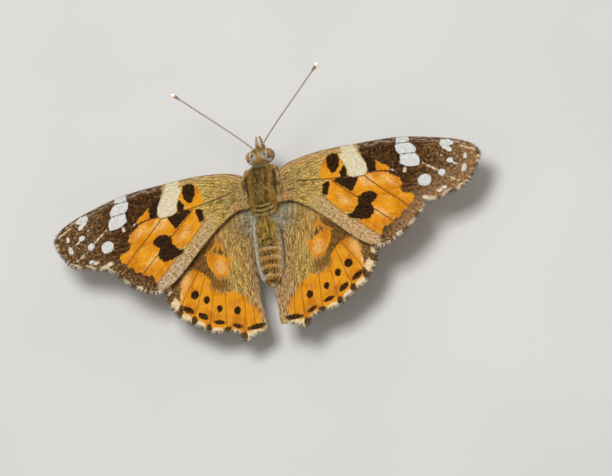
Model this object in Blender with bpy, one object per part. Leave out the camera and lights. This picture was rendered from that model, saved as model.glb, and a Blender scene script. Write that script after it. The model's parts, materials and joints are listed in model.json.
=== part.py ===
"""Painted lady butterfly, Vanessa cardui, life size, standing with its wings spread flat.

Metres, +Z up. The animal faces -Y and its left side is +X. Every part is drawn in the body's own
frame, where z = 0 is the height of the forewing hinges; the empty that carries the parts lifts them
until the feet stand on z = 0, with the origin on the floor under the middle of the whole animal.
"""

import math

import bmesh
import bpy
import numpy as np
from mathutils import Vector
from mathutils.geometry import delaunay_2d_cdt

# Driving dimensions

FOREWING_LENGTH = 0.0300
HINGE_HEIGHT = 0.0066
HINGE_OFFSET = 0.0020
GAP = 0.0003

# Wings: outlines and veins are in hundredths of the forewing's length, x outward, y backward from a hinge

WING_THICKNESS = 0.0005
CAMBER = 0.0006
CAMBER_SPAN = 0.0320
VEIN_HEIGHT = 0.00012
VEIN_HALF_WIDTH = 0.00034
VEIN_SPACING = 0.0014
MARGIN_SPACING = 0.0011
MEMBRANE_SPACING = 0.0026
CLOSEST_POINTS = 0.00030
BURIED_ROOT = -3.5

FORE_HINGE = (HINGE_OFFSET, 0.0, 0.0)
HIND_HINGE = (HINGE_OFFSET, 0.0035, -0.00105)

SIDES = {
    "left": {"sign": 1.0, "dihedral": -0.39, "pitch": -1.40, "sweep": 0.49, "fold": 0.0009},
    "right": {"sign": -1.0, "dihedral": -0.67, "pitch": 1.15, "sweep": -0.49, "fold": 0.0},
}

# Where a hindwing's inner edge bends down beside the abdomen: from x inward, between two y, faded over a step

FOLD_START = 3.6
FOLD_WIDTH = 3.0
FOLD_SPAN = (4.0, 36.0)
FOLD_FADE = 6.0

FORE_ROOT = [(BURIED_ROOT, 4.0), (BURIED_ROOT, -9.0)]
FORE_COSTA = [(0.0, -10.0), (8.3, -13.8), (24.3, -15.8), (43.3, -15.3), (61.3, -14.3), (77.7, -11.0),
              (91.3, -6.7)]
FORE_APEX = [(98.5, -1.5), (99.0, 4.3), (91.7, 15.7)]
FORE_MARGIN = [(81.3, 19.7), (71.7, 23.0), (67.3, 27.3), (60.7, 33.7), (51.3, 38.7)]
FORE_TORNUS = [(46.0, 38.3), (37.7, 32.7), (28.3, 23.3), (17.3, 12.7), (6.7, 5.5)]
TEAR_RIGHT = [(72.2, 20.5), (67.3, 13.8), (70.7, 22.8)]

HIND_ROOT = [(BURIED_ROOT, 2.0), (BURIED_ROOT, -8.5)]
HIND_COSTA = [(5.0, -8.0), (13.3, -7.0), (26.7, 0.7), (38.3, 11.0), (45.3, 20.0)]
HIND_APEX = [(46.6, 24.7), (45.8, 28.7), (45.2, 32.0), (43.7, 35.0), (41.3, 38.7)]
HIND_MARGIN = [(39.7, 41.0), (37.0, 43.0), (33.3, 45.3), (30.0, 47.3), (27.0, 49.7),
               (24.5, 50.7), (21.0, 51.7), (17.7, 51.3), (15.3, 52.2), (12.3, 53.0)]
HIND_LOBE = [(10.8, 55.3), (9.7, 57.5), (7.3, 57.7), (5.0, 56.2), (1.7, 54.8)]
HIND_INNER = {
    "left": [(-1.8, 53.5), (-1.7, 47.7), (-0.3, 40.0), (0.5, 32.0), (0.7, 22.0), (0.7, 12.0), (0.7, 6.0)],
    "right": [(-2.0, 53.7), (-4.0, 52.7), (-4.7, 42.4), (-5.3, 36.7), (-1.7, 31.7), (0.7, 23.7),
              (1.0, 14.7), (0.3, 6.0)],
}

FORE_VEINS = {
    "subcosta": [(3.3, -13.0), (16.7, -14.8), (33.3, -15.2), (48.3, -14.8)],
    "radius 1": [(4.0, -11.7), (16.3, -13.3), (30.3, -13.2), (43.3, -14.0), (58.3, -13.3), (70.0, -11.5)],
    "radius 5": [(30.3, -13.2), (40.7, -11.0), (51.7, -12.0), (61.0, -11.2), (66.7, -10.3), (75.0, -8.0),
                 (83.3, -5.3), (97.7, 0.7)],
    "cubitus": [(3.7, -5.7), (12.3, -3.0), (25.3, -0.7), (33.7, 0.3), (44.0, 2.0)],
    "cell end": [(40.7, -11.0), (43.3, -7.7), (45.3, -3.0), (45.3, 0.3), (44.0, 2.0)],
    "media 1": [(43.3, -7.7), (51.7, -6.3), (62.3, -5.3), (69.3, -4.3), (81.7, -0.3), (96.7, 7.3)],
    "media 2": [(45.3, 0.3), (51.7, 1.2), (56.7, 3.0), (61.0, 6.3), (73.3, 13.3), (85.0, 18.0)],
    "media 3": [(44.0, 2.0), (46.7, 5.0), (53.3, 11.7), (60.0, 18.0), (66.7, 26.3)],
    "cubital 1": [(28.0, 0.7), (33.3, 6.3), (39.3, 11.7), (47.0, 19.5), (55.7, 27.8), (61.0, 33.0)],
    "cubital 2": [(18.3, -1.0), (23.3, 7.7), (32.0, 18.0), (40.7, 26.3), (49.3, 34.3)],
    "anal": [(4.0, -2.0), (15.0, 7.0), (27.0, 19.0), (37.0, 29.0), (44.3, 36.7)],
}

HIND_VEINS = {
    "costal": [(5.0, -4.0), (15.0, -2.7), (26.7, 5.0), (36.7, 15.3), (43.0, 26.7), (44.0, 30.7)],
    "radial sector": [(4.0, 0.0), (10.0, 0.7), (17.3, 6.0), (24.7, 13.3), (30.7, 22.0), (36.3, 30.7),
                      (40.3, 38.0)],
    "media 1": [(17.3, 6.0), (22.7, 14.7), (26.7, 24.7), (29.7, 34.0), (33.0, 43.0)],
    "media 2": [(22.7, 14.7), (21.0, 19.3), (22.0, 26.7), (23.0, 34.0), (25.3, 47.7)],
    "cubitus": [(4.0, 0.0), (8.7, 6.0), (12.0, 12.0), (15.0, 20.7), (21.0, 19.3)],
    "media 3": [(15.0, 20.7), (16.3, 27.3), (16.7, 35.0), (17.2, 50.0)],
    "cubital 1": [(12.0, 12.0), (10.7, 20.7), (9.7, 28.7), (7.7, 40.0), (9.0, 54.7)],
    "cubital 2": [(8.7, 6.0), (6.3, 20.0), (4.7, 31.7), (3.7, 42.7), (3.7, 52.0)],
}

# Body: y, middle z, half width and half height of each section across the body, coat included

BODY_SIDES = 20
THORAX_FRONT = -0.0047
THORAX_REAR = 0.0029
THORAX_SECTIONS = [
    (THORAX_FRONT, -0.00075, 0.00150, 0.00130),
    (-0.0041, -0.00075, 0.00205, 0.00175),
    (-0.0030, -0.00085, 0.00250, 0.00215),
    (-0.0015, -0.00090, 0.00265, 0.00235),
    (0.0003, -0.00090, 0.00250, 0.00230),
    (0.0018, -0.00095, 0.00225, 0.00205),
    (THORAX_REAR, -0.00100, 0.00185, 0.00170),
]
TEGULA_PLACE = (0.00175, -0.0024, 0.00060)
TEGULA_HALF_SIZE = (0.00085, 0.00150, 0.00062)

ABDOMEN_LENGTH = 0.0103
ABDOMEN_RINGS = 8
RING_STEP = 0.00007
RING_GROOVE = 0.00012
ABDOMEN_SIDE_BEND = -0.00015
ABDOMEN_SECTIONS = [
    (0.00, -0.00100, 0.00170, 0.00160),
    (0.15, -0.00102, 0.00190, 0.00176),
    (0.38, -0.00108, 0.00198, 0.00182),
    (0.58, -0.00114, 0.00194, 0.00174),
    (0.75, -0.00120, 0.00180, 0.00158),
    (0.88, -0.00126, 0.00142, 0.00124),
    (0.96, -0.00130, 0.00090, 0.00080),
    (1.00, -0.00132, 0.00042, 0.00040),
]

HEAD_MIDDLE = (0.0, -0.0063, -0.00060)
HEAD_HALF_SIZE = (0.00145, 0.00135, 0.00142)
HEAD_REAR = THORAX_FRONT - GAP
EYE_MIDDLE = (0.00110, -0.0062, -0.00045)
EYE_HALF_SIZE = (0.00105, 0.00100, 0.00118)
EYE_INNER_FACE = 0.00085

ANTENNA_PATH = [(0.00050, -0.00675, 0.00030), (0.00095, -0.00735, 0.00095), (0.00330, -0.00960, 0.00185),
                (0.00700, -0.01290, 0.00300), (0.01105, -0.01650, 0.00430)]
SHAFT_RADIUS = 0.00025
CLUB_RADIUS = 0.00039
CLUB_SHARE = 0.14

PALP_PATH = [(0.00052, -0.00690, -0.00130), (0.00060, -0.00770, -0.00120), (0.00056, -0.00860, -0.00070),
             (0.00048, -0.00925, -0.00020)]
PALP_RADII = [0.00036, 0.00038, 0.00033, 0.00018]

COIL_MIDDLE = (0.0, -0.00735, -0.00300)
COIL_OUTER = 0.00085
COIL_PITCH = 0.00070
COIL_TURNS = 0.92
PROBOSCIS_RADII = (0.00025, 0.00016)
PROBOSCIS_ROOT = (0.0, -0.00640, -0.00160)

# Legs: joints from the coxa's root to the claws, and the radius at each

LEG_SIDES = 8
FLOOR = -HINGE_HEIGHT
SOLE = FLOOR + 0.00021
LEGS = {
    "foreleg": {
        "joints": [(0.00075, -0.0036, -0.0022), (0.00100, -0.0041, -0.0033), (0.00125, -0.0056, -0.0038),
                   (0.00150, -0.0040, -0.0046)],
        "radii": [0.00032, 0.00028, 0.00026, 0.00024],
        "tarsus": False,
    },
    "midleg": {
        "joints": [(0.00100, -0.0014, -0.0024), (0.00150, -0.0018, -0.0037), (0.00470, -0.0034, -0.00245),
                   (0.00690, -0.0046, -0.00620), (0.00960, -0.0066, SOLE)],
        "radii": [0.00042, 0.00036, 0.00030, 0.00026, 0.00025],
        "tarsus": True,
    },
    "hindleg": {
        "joints": [(0.00100, 0.0009, -0.0023), (0.00150, 0.0014, -0.0036), (0.00450, 0.0036, -0.00250),
                   (0.00630, 0.0070, -0.00620), (0.00800, 0.0104, SOLE)],
        "radii": [0.00042, 0.00036, 0.00030, 0.00026, 0.00025],
        "tarsus": True,
    },
}

# Finishes: colour, roughness

FINISHES = {
    "orange scales": ((0.80, 0.36, 0.03, 1.0), 0.75),
    "brown scales": ((0.28, 0.19, 0.09, 1.0), 0.80),
    "body hair": ((0.30, 0.19, 0.07, 1.0), 0.90),
    "abdomen scales": ((0.52, 0.34, 0.13, 1.0), 0.85),
    "eye": ((0.10, 0.06, 0.04, 1.0), 0.25),
    "antenna": ((0.16, 0.13, 0.11, 1.0), 0.70),
    "leg": ((0.45, 0.33, 0.20, 1.0), 0.70),
    "proboscis": ((0.30, 0.18, 0.08, 1.0), 0.45),
}


def finish(name):
    """The named material, made on first use."""
    material = bpy.data.materials.get(name)
    if material is None:
        colour, roughness = FINISHES[name]
        material = bpy.data.materials.new(name)
        material.use_nodes = True
        shader = material.node_tree.nodes["Principled BSDF"]
        shader.inputs["Base Color"].default_value = colour
        shader.inputs["Roughness"].default_value = roughness
        shader.inputs["Metallic"].default_value = 0.0
    return material


def add_object(name, points, faces, material):
    """A mesh object of these points and faces, with its faces turned outward."""
    mesh = bpy.data.meshes.new(name)
    mesh.from_pydata([tuple(point) for point in points], [], faces)
    shape = bmesh.new()
    shape.from_mesh(mesh)
    bmesh.ops.recalc_face_normals(shape, faces=shape.faces)
    if shape.calc_volume(signed=True) < 0:
        bmesh.ops.reverse_faces(shape, faces=shape.faces)
    shape.to_mesh(mesh)
    shape.free()
    mesh.materials.append(finish(material))
    body = bpy.data.objects.new(name, mesh)
    bpy.context.scene.collection.objects.link(body)
    return body


def smooth_path(points, spacing, closed=False):
    """Points about this far apart on a smooth curve through the given ones."""
    given = [Vector(point) for point in points]
    count = len(given)
    found = []
    for i in range(count if closed else count - 1):
        if closed:
            before, start, end, after = (given[(i + step) % count] for step in (-1, 0, 1, 2))
        else:
            before, start = given[max(i - 1, 0)], given[i]
            end, after = given[i + 1], given[min(i + 2, count - 1)]
        steps = max(1, round((end - start).length / spacing))
        for step in range(steps):
            t = step / steps
            found.append(
                0.5 * (2 * start + (end - before) * t
                       + (2 * before - 5 * start + 4 * end - after) * t ** 2
                       + (3 * start - before - 3 * end + after) * t ** 3)
            )
    return found if closed else found + [given[-1]]


def rings_to_body(name, rings, material):
    """A closed body through rings of equally many points, capped at both ends."""
    sides = len(rings[0])
    points = [point for ring in rings for point in ring]
    faces = []
    for i in range(len(rings) - 1):
        for j in range(sides):
            k = (j + 1) % sides
            faces.append((i * sides + j, i * sides + k, (i + 1) * sides + k, (i + 1) * sides + j))
    faces.append(tuple(range(sides)))
    faces.append(tuple(range((len(rings) - 1) * sides, len(rings) * sides)))
    return add_object(name, points, faces, material)


def oval_ring(middle, half_width, half_height, sides):
    """Points of an upright oval across the body."""
    turns = [2 * math.pi * side / sides for side in range(sides)]
    return [
        Vector((middle[0] + half_width * math.cos(turn), middle[1], middle[2] + half_height * math.sin(turn)))
        for turn in turns
    ]


def oval_ball(name, middle, half_size, material, grow=0.0, rows=10, sides=16):
    """An ellipsoid, larger by grow on every side."""
    mesh = bpy.data.meshes.new(name)
    shape = bmesh.new()
    bmesh.ops.create_uvsphere(shape, u_segments=sides, v_segments=rows, radius=1.0)
    for vertex in shape.verts:
        vertex.co = Vector(middle[i] + vertex.co[i] * (half_size[i] + grow) for i in range(3))
    shape.to_mesh(mesh)
    shape.free()
    mesh.materials.append(finish(material))
    ball = bpy.data.objects.new(name, mesh)
    bpy.context.scene.collection.objects.link(ball)
    return ball


def tube(name, path, radii, sides, material):
    """A closed round tube along a path, its radius given at every point, with rounded ends."""
    path = [Vector(point) for point in path]
    end_round = 0.6
    first = path[0] + (path[0] - path[1]).normalized() * radii[0] * end_round
    last = path[-1] + (path[-1] - path[-2]).normalized() * radii[-1] * end_round
    path = [first] + path + [last]
    radii = [radii[0] * end_round] + list(radii) + [radii[-1] * end_round]
    across = (path[1] - path[0]).orthogonal().normalized()
    rings = []
    for i, point in enumerate(path):
        along = (path[min(i + 1, len(path) - 1)] - path[max(i - 1, 0)]).normalized()
        across = (across - along * across.dot(along)).normalized()
        other = along.cross(across)
        turns = [2 * math.pi * side / sides for side in range(sides)]
        rings.append([point + (across * math.cos(t) + other * math.sin(t)) * radii[i] for t in turns])
    return rings_to_body(name, rings, material)


def cut_flat(body, point, normal):
    """Cuts off what lies beyond a plane, and closes the cut."""
    shape = bmesh.new()
    shape.from_mesh(body.data)
    everything = shape.verts[:] + shape.edges[:] + shape.faces[:]
    bmesh.ops.bisect_plane(shape, geom=everything, plane_co=point, plane_no=normal, clear_outer=True, dist=1e-7)
    edges = [edge for edge in shape.edges if edge.is_boundary]
    bmesh.ops.contextual_create(shape, geom=edges)
    bmesh.ops.recalc_face_normals(shape, faces=shape.faces)
    shape.to_mesh(body.data)
    shape.free()


def combine(body, others, operation):
    """Joins the others to a body, or cuts them from it, and removes them."""
    group = bpy.data.collections.new("operands")
    bpy.context.scene.collection.children.link(group)
    for other in others:
        group.objects.link(other)
    modifier = body.modifiers.new("combine", "BOOLEAN")
    modifier.operation = operation
    modifier.operand_type = "COLLECTION"
    modifier.collection = group
    modifier.solver = "EXACT"
    graph = bpy.context.evaluated_depsgraph_get()
    made = bpy.data.meshes.new_from_object(body.evaluated_get(graph))
    body.modifiers.clear()
    body.data = made
    made.name = body.name
    for other in others:
        bpy.data.objects.remove(other)
    bpy.data.collections.remove(group)
    keep_largest(body)


def keep_largest(body):
    """Keeps only the largest closed surface of a body."""
    shape = bmesh.new()
    shape.from_mesh(body.data)
    left = set(shape.verts)
    pieces = []
    while left:
        piece = set()
        reached = [left.pop()]
        while reached:
            vertex = reached.pop()
            piece.add(vertex)
            for edge in vertex.link_edges:
                other = edge.other_vert(vertex)
                if other in left:
                    left.remove(other)
                    reached.append(other)
        pieces.append(piece)
    largest = max(pieces, key=len)
    scraps = [vertex for vertex in shape.verts if vertex not in largest]
    bmesh.ops.delete(shape, geom=scraps, context="VERTS")
    bmesh.ops.triangulate(shape, faces=shape.faces)
    shape.to_mesh(body.data)
    shape.free()


def thorax_body(name, grow=0.0):
    """The thorax with the two shoulder flaps that cover the forewing hinges."""
    rings = []
    last = len(THORAX_SECTIONS) - 1
    for i, (y, z, half_width, half_height) in enumerate(THORAX_SECTIONS):
        y += (-grow if i == 0 else grow if i == last else 0.0)
        rings.append(oval_ring((0.0, y, z), half_width + grow, half_height + grow, BODY_SIDES))
    body = rings_to_body(name, rings, "body hair")
    flaps = []
    for sign in (1.0, -1.0):
        place = (sign * TEGULA_PLACE[0], TEGULA_PLACE[1], TEGULA_PLACE[2])
        flaps.append(oval_ball("flap", place, TEGULA_HALF_SIZE, "body hair", grow, rows=6, sides=12))
    combine(body, flaps, "UNION")
    return body


def abdomen_body(name, grow=0.0):
    """The abdomen, whose rings each step in a little behind the one before."""
    front = THORAX_REAR + GAP
    shares, middles, widths, heights = zip(*ABDOMEN_SECTIONS)
    rings = []
    for ring in range(ABDOMEN_RINGS):
        starts = ring / ABDOMEN_RINGS
        ends = (ring + 1) / ABDOMEN_RINGS - RING_GROOVE / ABDOMEN_LENGTH
        for share, step in ((starts, RING_STEP), ((starts + ends) / 2, RING_STEP / 3), (ends, 0.0)):
            y = front + share * ABDOMEN_LENGTH
            if share == 0.0:
                y -= grow
            middle = (ABDOMEN_SIDE_BEND * share, y, float(np.interp(share, shares, middles)))
            half_width = float(np.interp(share, shares, widths)) - step + grow
            half_height = float(np.interp(share, shares, heights)) - step + grow
            rings.append(oval_ring(middle, half_width, half_height, BODY_SIDES))
    tip = (ABDOMEN_SIDE_BEND, front + ABDOMEN_LENGTH + grow, middles[-1])
    rings.append(oval_ring(tip, widths[-1] / 2 + grow, heights[-1] / 2 + grow, BODY_SIDES))
    return rings_to_body(name, rings, "abdomen scales")


def eye_body(name, sign, grow=0.0):
    """One eye, flat on the side that is sunk in the head."""
    middle = (sign * EYE_MIDDLE[0], EYE_MIDDLE[1], EYE_MIDDLE[2])
    eye = oval_ball(name, middle, EYE_HALF_SIZE, "eye", grow, rows=12, sides=18)
    cut_flat(eye, (sign * (EYE_INNER_FACE - grow), 0, 0), (-sign, 0, 0))
    return eye


def head_body(name, grow=0.0):
    """The head between the eyes, flat where it meets the thorax."""
    head = oval_ball(name, HEAD_MIDDLE, HEAD_HALF_SIZE, "body hair", grow, rows=14, sides=20)
    cut_flat(head, (0, HEAD_REAR + grow, 0), (0, 1, 0))
    return head


def add_head():
    head = head_body("head")
    sockets = [eye_body("socket", sign, GAP) for sign in (1.0, -1.0)]
    combine(head, sockets, "DIFFERENCE")
    for side, values in SIDES.items():
        eye_body("eye_" + side, values["sign"])


def head_clearance():
    """Copies of the head and eyes, a gap larger, which cut what grows from the head."""
    return [head_body("clearance", GAP)] + [eye_body("clearance", sign, GAP) for sign in (1.0, -1.0)]


def mirrored(points, sign):
    return [(sign * x, y, z) for x, y, z in points]


def add_antenna(side, sign):
    """A feeler: a thin shaft that ends in a club."""
    path = smooth_path(mirrored(ANTENNA_PATH, sign), spacing=0.0011)
    radii = []
    for i in range(len(path)):
        into_club = (i / (len(path) - 1) - (1 - CLUB_SHARE)) / CLUB_SHARE
        swell = math.sin(math.pi * min(max(into_club, 0.0), 0.85)) ** 0.7
        radii.append(SHAFT_RADIUS + (CLUB_RADIUS - SHAFT_RADIUS) * swell)
    antenna = tube("antenna_" + side, path, radii, 7, "antenna")
    combine(antenna, head_clearance(), "DIFFERENCE")


def add_palp(side, sign):
    """One of the two scaly palps that reach forward like a beak."""
    path = mirrored(PALP_PATH, sign)
    palp = tube("palp_" + side, path, PALP_RADII, 10, "body hair")
    combine(palp, head_clearance(), "DIFFERENCE")


def add_proboscis():
    """The tongue, rolled up under the head."""
    path = [Vector(PROBOSCIS_ROOT)]
    steps = 18
    for step in range(steps + 1):
        turn = step / steps * COIL_TURNS
        radius = COIL_OUTER - COIL_PITCH * turn
        angle = 2 * math.pi * turn
        path.append(
            Vector((0.0, COIL_MIDDLE[1] + radius * math.cos(angle), COIL_MIDDLE[2] - radius * math.sin(angle)))
        )
    radii = np.linspace(*PROBOSCIS_RADII, len(path))
    tongue = tube("proboscis", path, radii, 7, "proboscis")
    combine(tongue, head_clearance(), "DIFFERENCE")


def add_leg(kind, side, sign):
    """A leg of coxa, femur, tibia and, where it stands, a tarsus that lies flat on the floor."""
    leg = LEGS[kind]
    joints = [Vector(joint) for joint in mirrored(leg["joints"], sign)]
    pieces = []
    for i in range(len(joints) - 1):
        start, end = joints[i], joints[i + 1]
        path = [start, (start + end) / 2, end]
        radii = [leg["radii"][i], (leg["radii"][i] + leg["radii"][i + 1]) / 2, leg["radii"][i + 1]]
        is_tarsus = leg["tarsus"] and i == len(joints) - 2
        if is_tarsus:
            heel = start.lerp(end, 0.12)
            heel.z = SOLE
            path = [start, heel, heel.lerp(end, 0.5), end]
            radii = [leg["radii"][i]] + radii
        piece = tube(f"{kind}_{side}" if i == 0 else "segment", path, radii, LEG_SIDES, "leg")
        if is_tarsus:
            for vertex in piece.data.vertices:
                vertex.co.z = max(vertex.co.z, FLOOR)
        pieces.append(piece)
    combine(pieces[0], pieces[1:], "UNION")
    combine(pieces[0], [thorax_body("clearance", GAP)], "DIFFERENCE")


def scaled(points):
    """Chart points in metres: the chart's unit is a hundredth of the forewing's length."""
    return [(x * FOREWING_LENGTH / 100, y * FOREWING_LENGTH / 100) for x, y in points]


def distances(points, lines):
    """How far each point lies from the nearest of these lines."""
    nearest = np.full(len(points), np.inf)
    for line in lines:
        line = np.array([(x, y) for x, y in line])
        for start, end in zip(line[:-1], line[1:]):
            along = end - start
            t = np.clip(((points - start) @ along) / (along @ along), 0.0, 1.0)
            away = np.linalg.norm(points - start - t[:, None] * along, axis=1)
            nearest = np.minimum(nearest, away)
    return nearest


def inside(point, outline):
    """Whether a point lies within a closed outline."""
    x, y = point
    crossings = 0
    for start, end in zip(outline, outline[1:] + outline[:1]):
        if (start.y > y) != (end.y > y):
            crossings += x < start.x + (y - start.y) / (end.y - start.y) * (end.x - start.x)
    return crossings % 2 == 1


def membrane_points(outline, veins):
    """The outline's own points, then points along and beside each vein, then a loose grid between them."""
    points = list(outline)
    edge = outline + outline[:1]

    def add(point, clear_of_edge):
        if not inside(point, outline):
            return
        if distances(np.array([point[:]]), [edge])[0] < clear_of_edge:
            return
        if min((point - other).length for other in points) > CLOSEST_POINTS:
            points.append(point)

    for vein in veins:
        for point in vein:
            add(point, CLOSEST_POINTS)
    for vein in veins:
        for i, point in enumerate(vein):
            along = (vein[min(i + 1, len(vein) - 1)] - vein[max(i - 1, 0)]).normalized()
            for sign in (1.0, -1.0):
                add(point + Vector((-along.y, along.x)) * VEIN_HALF_WIDTH * sign, CLOSEST_POINTS)
    taken = np.array([point[:] for point in points])
    row_height = MEMBRANE_SPACING * math.sqrt(3) / 2
    for row in range(-8, 18):
        for column in range(-3, 16):
            point = Vector(((column + row % 2 / 2) * MEMBRANE_SPACING, row * row_height))
            far = np.linalg.norm(taken - np.array(point[:]), axis=1).min() > MEMBRANE_SPACING * 0.45
            if far:
                add(point, MEMBRANE_SPACING * 0.4)
    return points


def folded(flat):
    """How far each point of a hindwing takes part in the fold beside the abdomen, from 0 to 1."""
    x, y = (flat / (FOREWING_LENGTH / 100)).T
    inward = np.clip((FOLD_START - x) / FOLD_WIDTH, 0.0, 1.0)
    along = np.clip((y - FOLD_SPAN[0]) / FOLD_FADE, 0.0, 1.0) * np.clip((FOLD_SPAN[1] - y) / FOLD_FADE, 0.0, 1.0)
    return inward ** 1.5 * along


def add_wing(name, outline_points, vein_points, hinge, side, sweep):
    """A wing: a thin plate whose veins are ridges on both of its faces."""
    values = SIDES[side]
    outline = smooth_path(scaled(outline_points), MARGIN_SPACING, closed=True)
    veins = [smooth_path(scaled(line), VEIN_SPACING) for line in vein_points.values()]
    points = membrane_points(outline, veins)
    rim = [(i, (i + 1) % len(outline)) for i in range(len(outline))]
    flat, _, triangles, _, _, _ = delaunay_2d_cdt(points, rim, [], 1, 1e-9)
    flat = np.array([point[:] for point in flat])
    ridge = VEIN_HEIGHT * np.clip(1 - distances(flat, veins) / VEIN_HALF_WIDTH, 0.0, 1.0)
    cosine, sine = math.cos(math.radians(sweep)), math.sin(math.radians(sweep))
    x = flat[:, 0] * cosine - flat[:, 1] * sine + hinge[0]
    y = flat[:, 0] * sine + flat[:, 1] * cosine + hinge[1]
    z = hinge[2] + math.tan(math.radians(values["dihedral"])) * x
    z += math.tan(math.radians(values["pitch"])) * y + CAMBER * np.sin(math.pi * x / CAMBER_SPAN)
    if name.startswith("hind"):
        z -= values["fold"] * folded(flat)
    upper = np.stack([values["sign"] * x, y, z + WING_THICKNESS / 2 + ridge], axis=1)
    lower = np.stack([values["sign"] * x, y, z - WING_THICKNESS / 2 - ridge], axis=1)
    count = len(flat)
    faces = [tuple(face) for face in triangles]
    faces += [tuple(count + corner for corner in reversed(face)) for face in triangles]
    edge_uses = {}
    for face in triangles:
        for a, b in zip(face, face[1:] + face[:1]):
            edge_uses[frozenset((a, b))] = None if frozenset((a, b)) in edge_uses else (a, b)
    for edge in edge_uses.values():
        if edge is not None:
            a, b = edge
            faces += [(b, a, count + a), (b, count + a, count + b)]
    colour = "orange scales" if name.startswith("fore") else "brown scales"
    wing = add_object(name, np.concatenate([upper, lower]), faces, colour)
    combine(wing, [thorax_body("clearance", GAP), abdomen_body("clearance", GAP)], "DIFFERENCE")


def add_wings():
    for side, values in SIDES.items():
        margin = FORE_MARGIN[:1] + TEAR_RIGHT + FORE_MARGIN[2:] if side == "right" else FORE_MARGIN
        outline = FORE_ROOT + FORE_COSTA + FORE_APEX + margin + FORE_TORNUS
        add_wing("forewing_" + side, outline, FORE_VEINS, FORE_HINGE, side, values["sweep"])
        outline = HIND_ROOT + HIND_COSTA + HIND_APEX + HIND_MARGIN + HIND_LOBE + HIND_INNER[side]
        add_wing("hindwing_" + side, outline, HIND_VEINS, HIND_HINGE, side, 0.0)


def stand_on_floor():
    """Hangs every part on one empty, which puts the origin on the floor under the middle."""
    parts = [item for item in bpy.data.objects if item.type == "MESH"]
    points = np.array([vertex.co[:] for item in parts for vertex in item.data.vertices])
    middle = (points.min(axis=0) + points.max(axis=0)) / 2
    carrier = bpy.data.objects.new("butterfly", None)
    carrier.location = (-middle[0], -middle[1], HINGE_HEIGHT)
    bpy.context.scene.collection.objects.link(carrier)
    for part in parts:
        part.parent = carrier
        part.data.shade_smooth()
        part.data.set_sharp_from_angle(angle=math.radians(40))


def main():
    for item in list(bpy.data.objects):
        bpy.data.objects.remove(item)
    thorax_body("thorax")
    abdomen_body("abdomen")
    add_head()
    add_proboscis()
    for side, values in SIDES.items():
        add_antenna(side, values["sign"])
        add_palp(side, values["sign"])
        for kind in LEGS:
            add_leg(kind, side, values["sign"])
    add_wings()
    stand_on_floor()


main()
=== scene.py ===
"""The looks of a painted lady butterfly, Vanessa cardui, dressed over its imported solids.

+Z is up, the animal faces -Y and its left side is +X. As in the solids, every form is drawn in the
body's own frame, where z = 0 is the height of the forewing hinges, here in millimetres. Wings are
drawn on flat charts in hundredths of the forewing's length: x outward and y backward from the hinge.
"""

import json
import math
from types import SimpleNamespace

import bpy
import numpy as np
from mathutils import Matrix, Vector
from mathutils.geometry import delaunay_2d_cdt
from mathutils.kdtree import KDTree

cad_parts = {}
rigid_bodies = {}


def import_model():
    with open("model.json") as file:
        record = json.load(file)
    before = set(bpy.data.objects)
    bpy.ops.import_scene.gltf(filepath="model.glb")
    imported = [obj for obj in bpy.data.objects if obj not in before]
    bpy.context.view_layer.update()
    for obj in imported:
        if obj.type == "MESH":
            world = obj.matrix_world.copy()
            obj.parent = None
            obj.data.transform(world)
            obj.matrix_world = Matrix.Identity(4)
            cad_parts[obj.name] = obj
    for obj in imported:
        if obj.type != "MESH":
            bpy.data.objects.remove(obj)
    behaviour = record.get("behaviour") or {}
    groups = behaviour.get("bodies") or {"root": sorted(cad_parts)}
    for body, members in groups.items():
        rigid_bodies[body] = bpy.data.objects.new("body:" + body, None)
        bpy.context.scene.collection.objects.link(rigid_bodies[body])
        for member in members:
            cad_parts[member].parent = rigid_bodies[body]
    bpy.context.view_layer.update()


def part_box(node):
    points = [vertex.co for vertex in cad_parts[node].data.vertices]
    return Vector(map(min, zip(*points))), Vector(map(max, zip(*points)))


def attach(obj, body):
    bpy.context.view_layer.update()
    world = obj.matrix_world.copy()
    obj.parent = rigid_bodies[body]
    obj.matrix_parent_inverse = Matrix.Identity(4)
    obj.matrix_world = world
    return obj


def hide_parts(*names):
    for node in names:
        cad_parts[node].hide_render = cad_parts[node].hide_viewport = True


# Driving dimensions, in millimetres

MILLIMETRE = 0.001
FOREWING_LENGTH = 30
UNIT = FOREWING_LENGTH / 100
HINGE_HEIGHT = 6.6
HINGE_OFFSET = 2.0

# Camera: its target in the body's frame, and what one pixel of the picture spans there

TARGET = (-5.75, 7.8, 0)
CAMERA_DISTANCE = 450
PICTURE_WIDTH = 612
PIXEL_SPAN = 0.140
AZIMUTH, ELEVATION, ROLL = 212.97, 62.53, -41.39
SENSOR_WIDTH = 36

# Wing shape, as in the solids

CAMBER = 0.6
CAMBER_SPAN = 32
HINGES = {"fore": (HINGE_OFFSET, 0, 0), "hind": (HINGE_OFFSET, 3.5, -1.05)}
SIDES = {
    "left": {"sign": 1, "dihedral": -0.39, "pitch": -1.40, "sweep": 0.49, "fold": 0.9, "wear": 0},
    "right": {"sign": -1, "dihedral": -0.67, "pitch": 1.15, "sweep": -0.49, "fold": 0, "wear": 1},
}
FOLD_START = 3.6
FOLD_WIDTH = 3
FOLD_SPAN = (4, 36)
FOLD_FADE = 6
BURIED_ROOT = -3.5

FORE_ROOT = [(BURIED_ROOT, 4), (BURIED_ROOT, -9)]
FORE_COSTA = [(0, -10), (8.3, -13.8), (24.3, -15.8), (43.3, -15.3), (61.3, -14.3), (77.7, -11), (91.3, -6.7)]
FORE_APEX = [(98.5, -1.5), (99, 4.3), (91.7, 15.7)]
FORE_MARGIN = [(81.3, 19.7), (71.7, 23), (67.3, 27.3), (60.7, 33.7), (51.3, 38.7)]
FORE_TORNUS = [(46, 38.3), (37.7, 32.7), (28.3, 23.3), (17.3, 12.7), (6.7, 5.5)]
TEAR_RIGHT = [(72.2, 20.5), (67.3, 13.8), (70.7, 22.8)]

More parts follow.
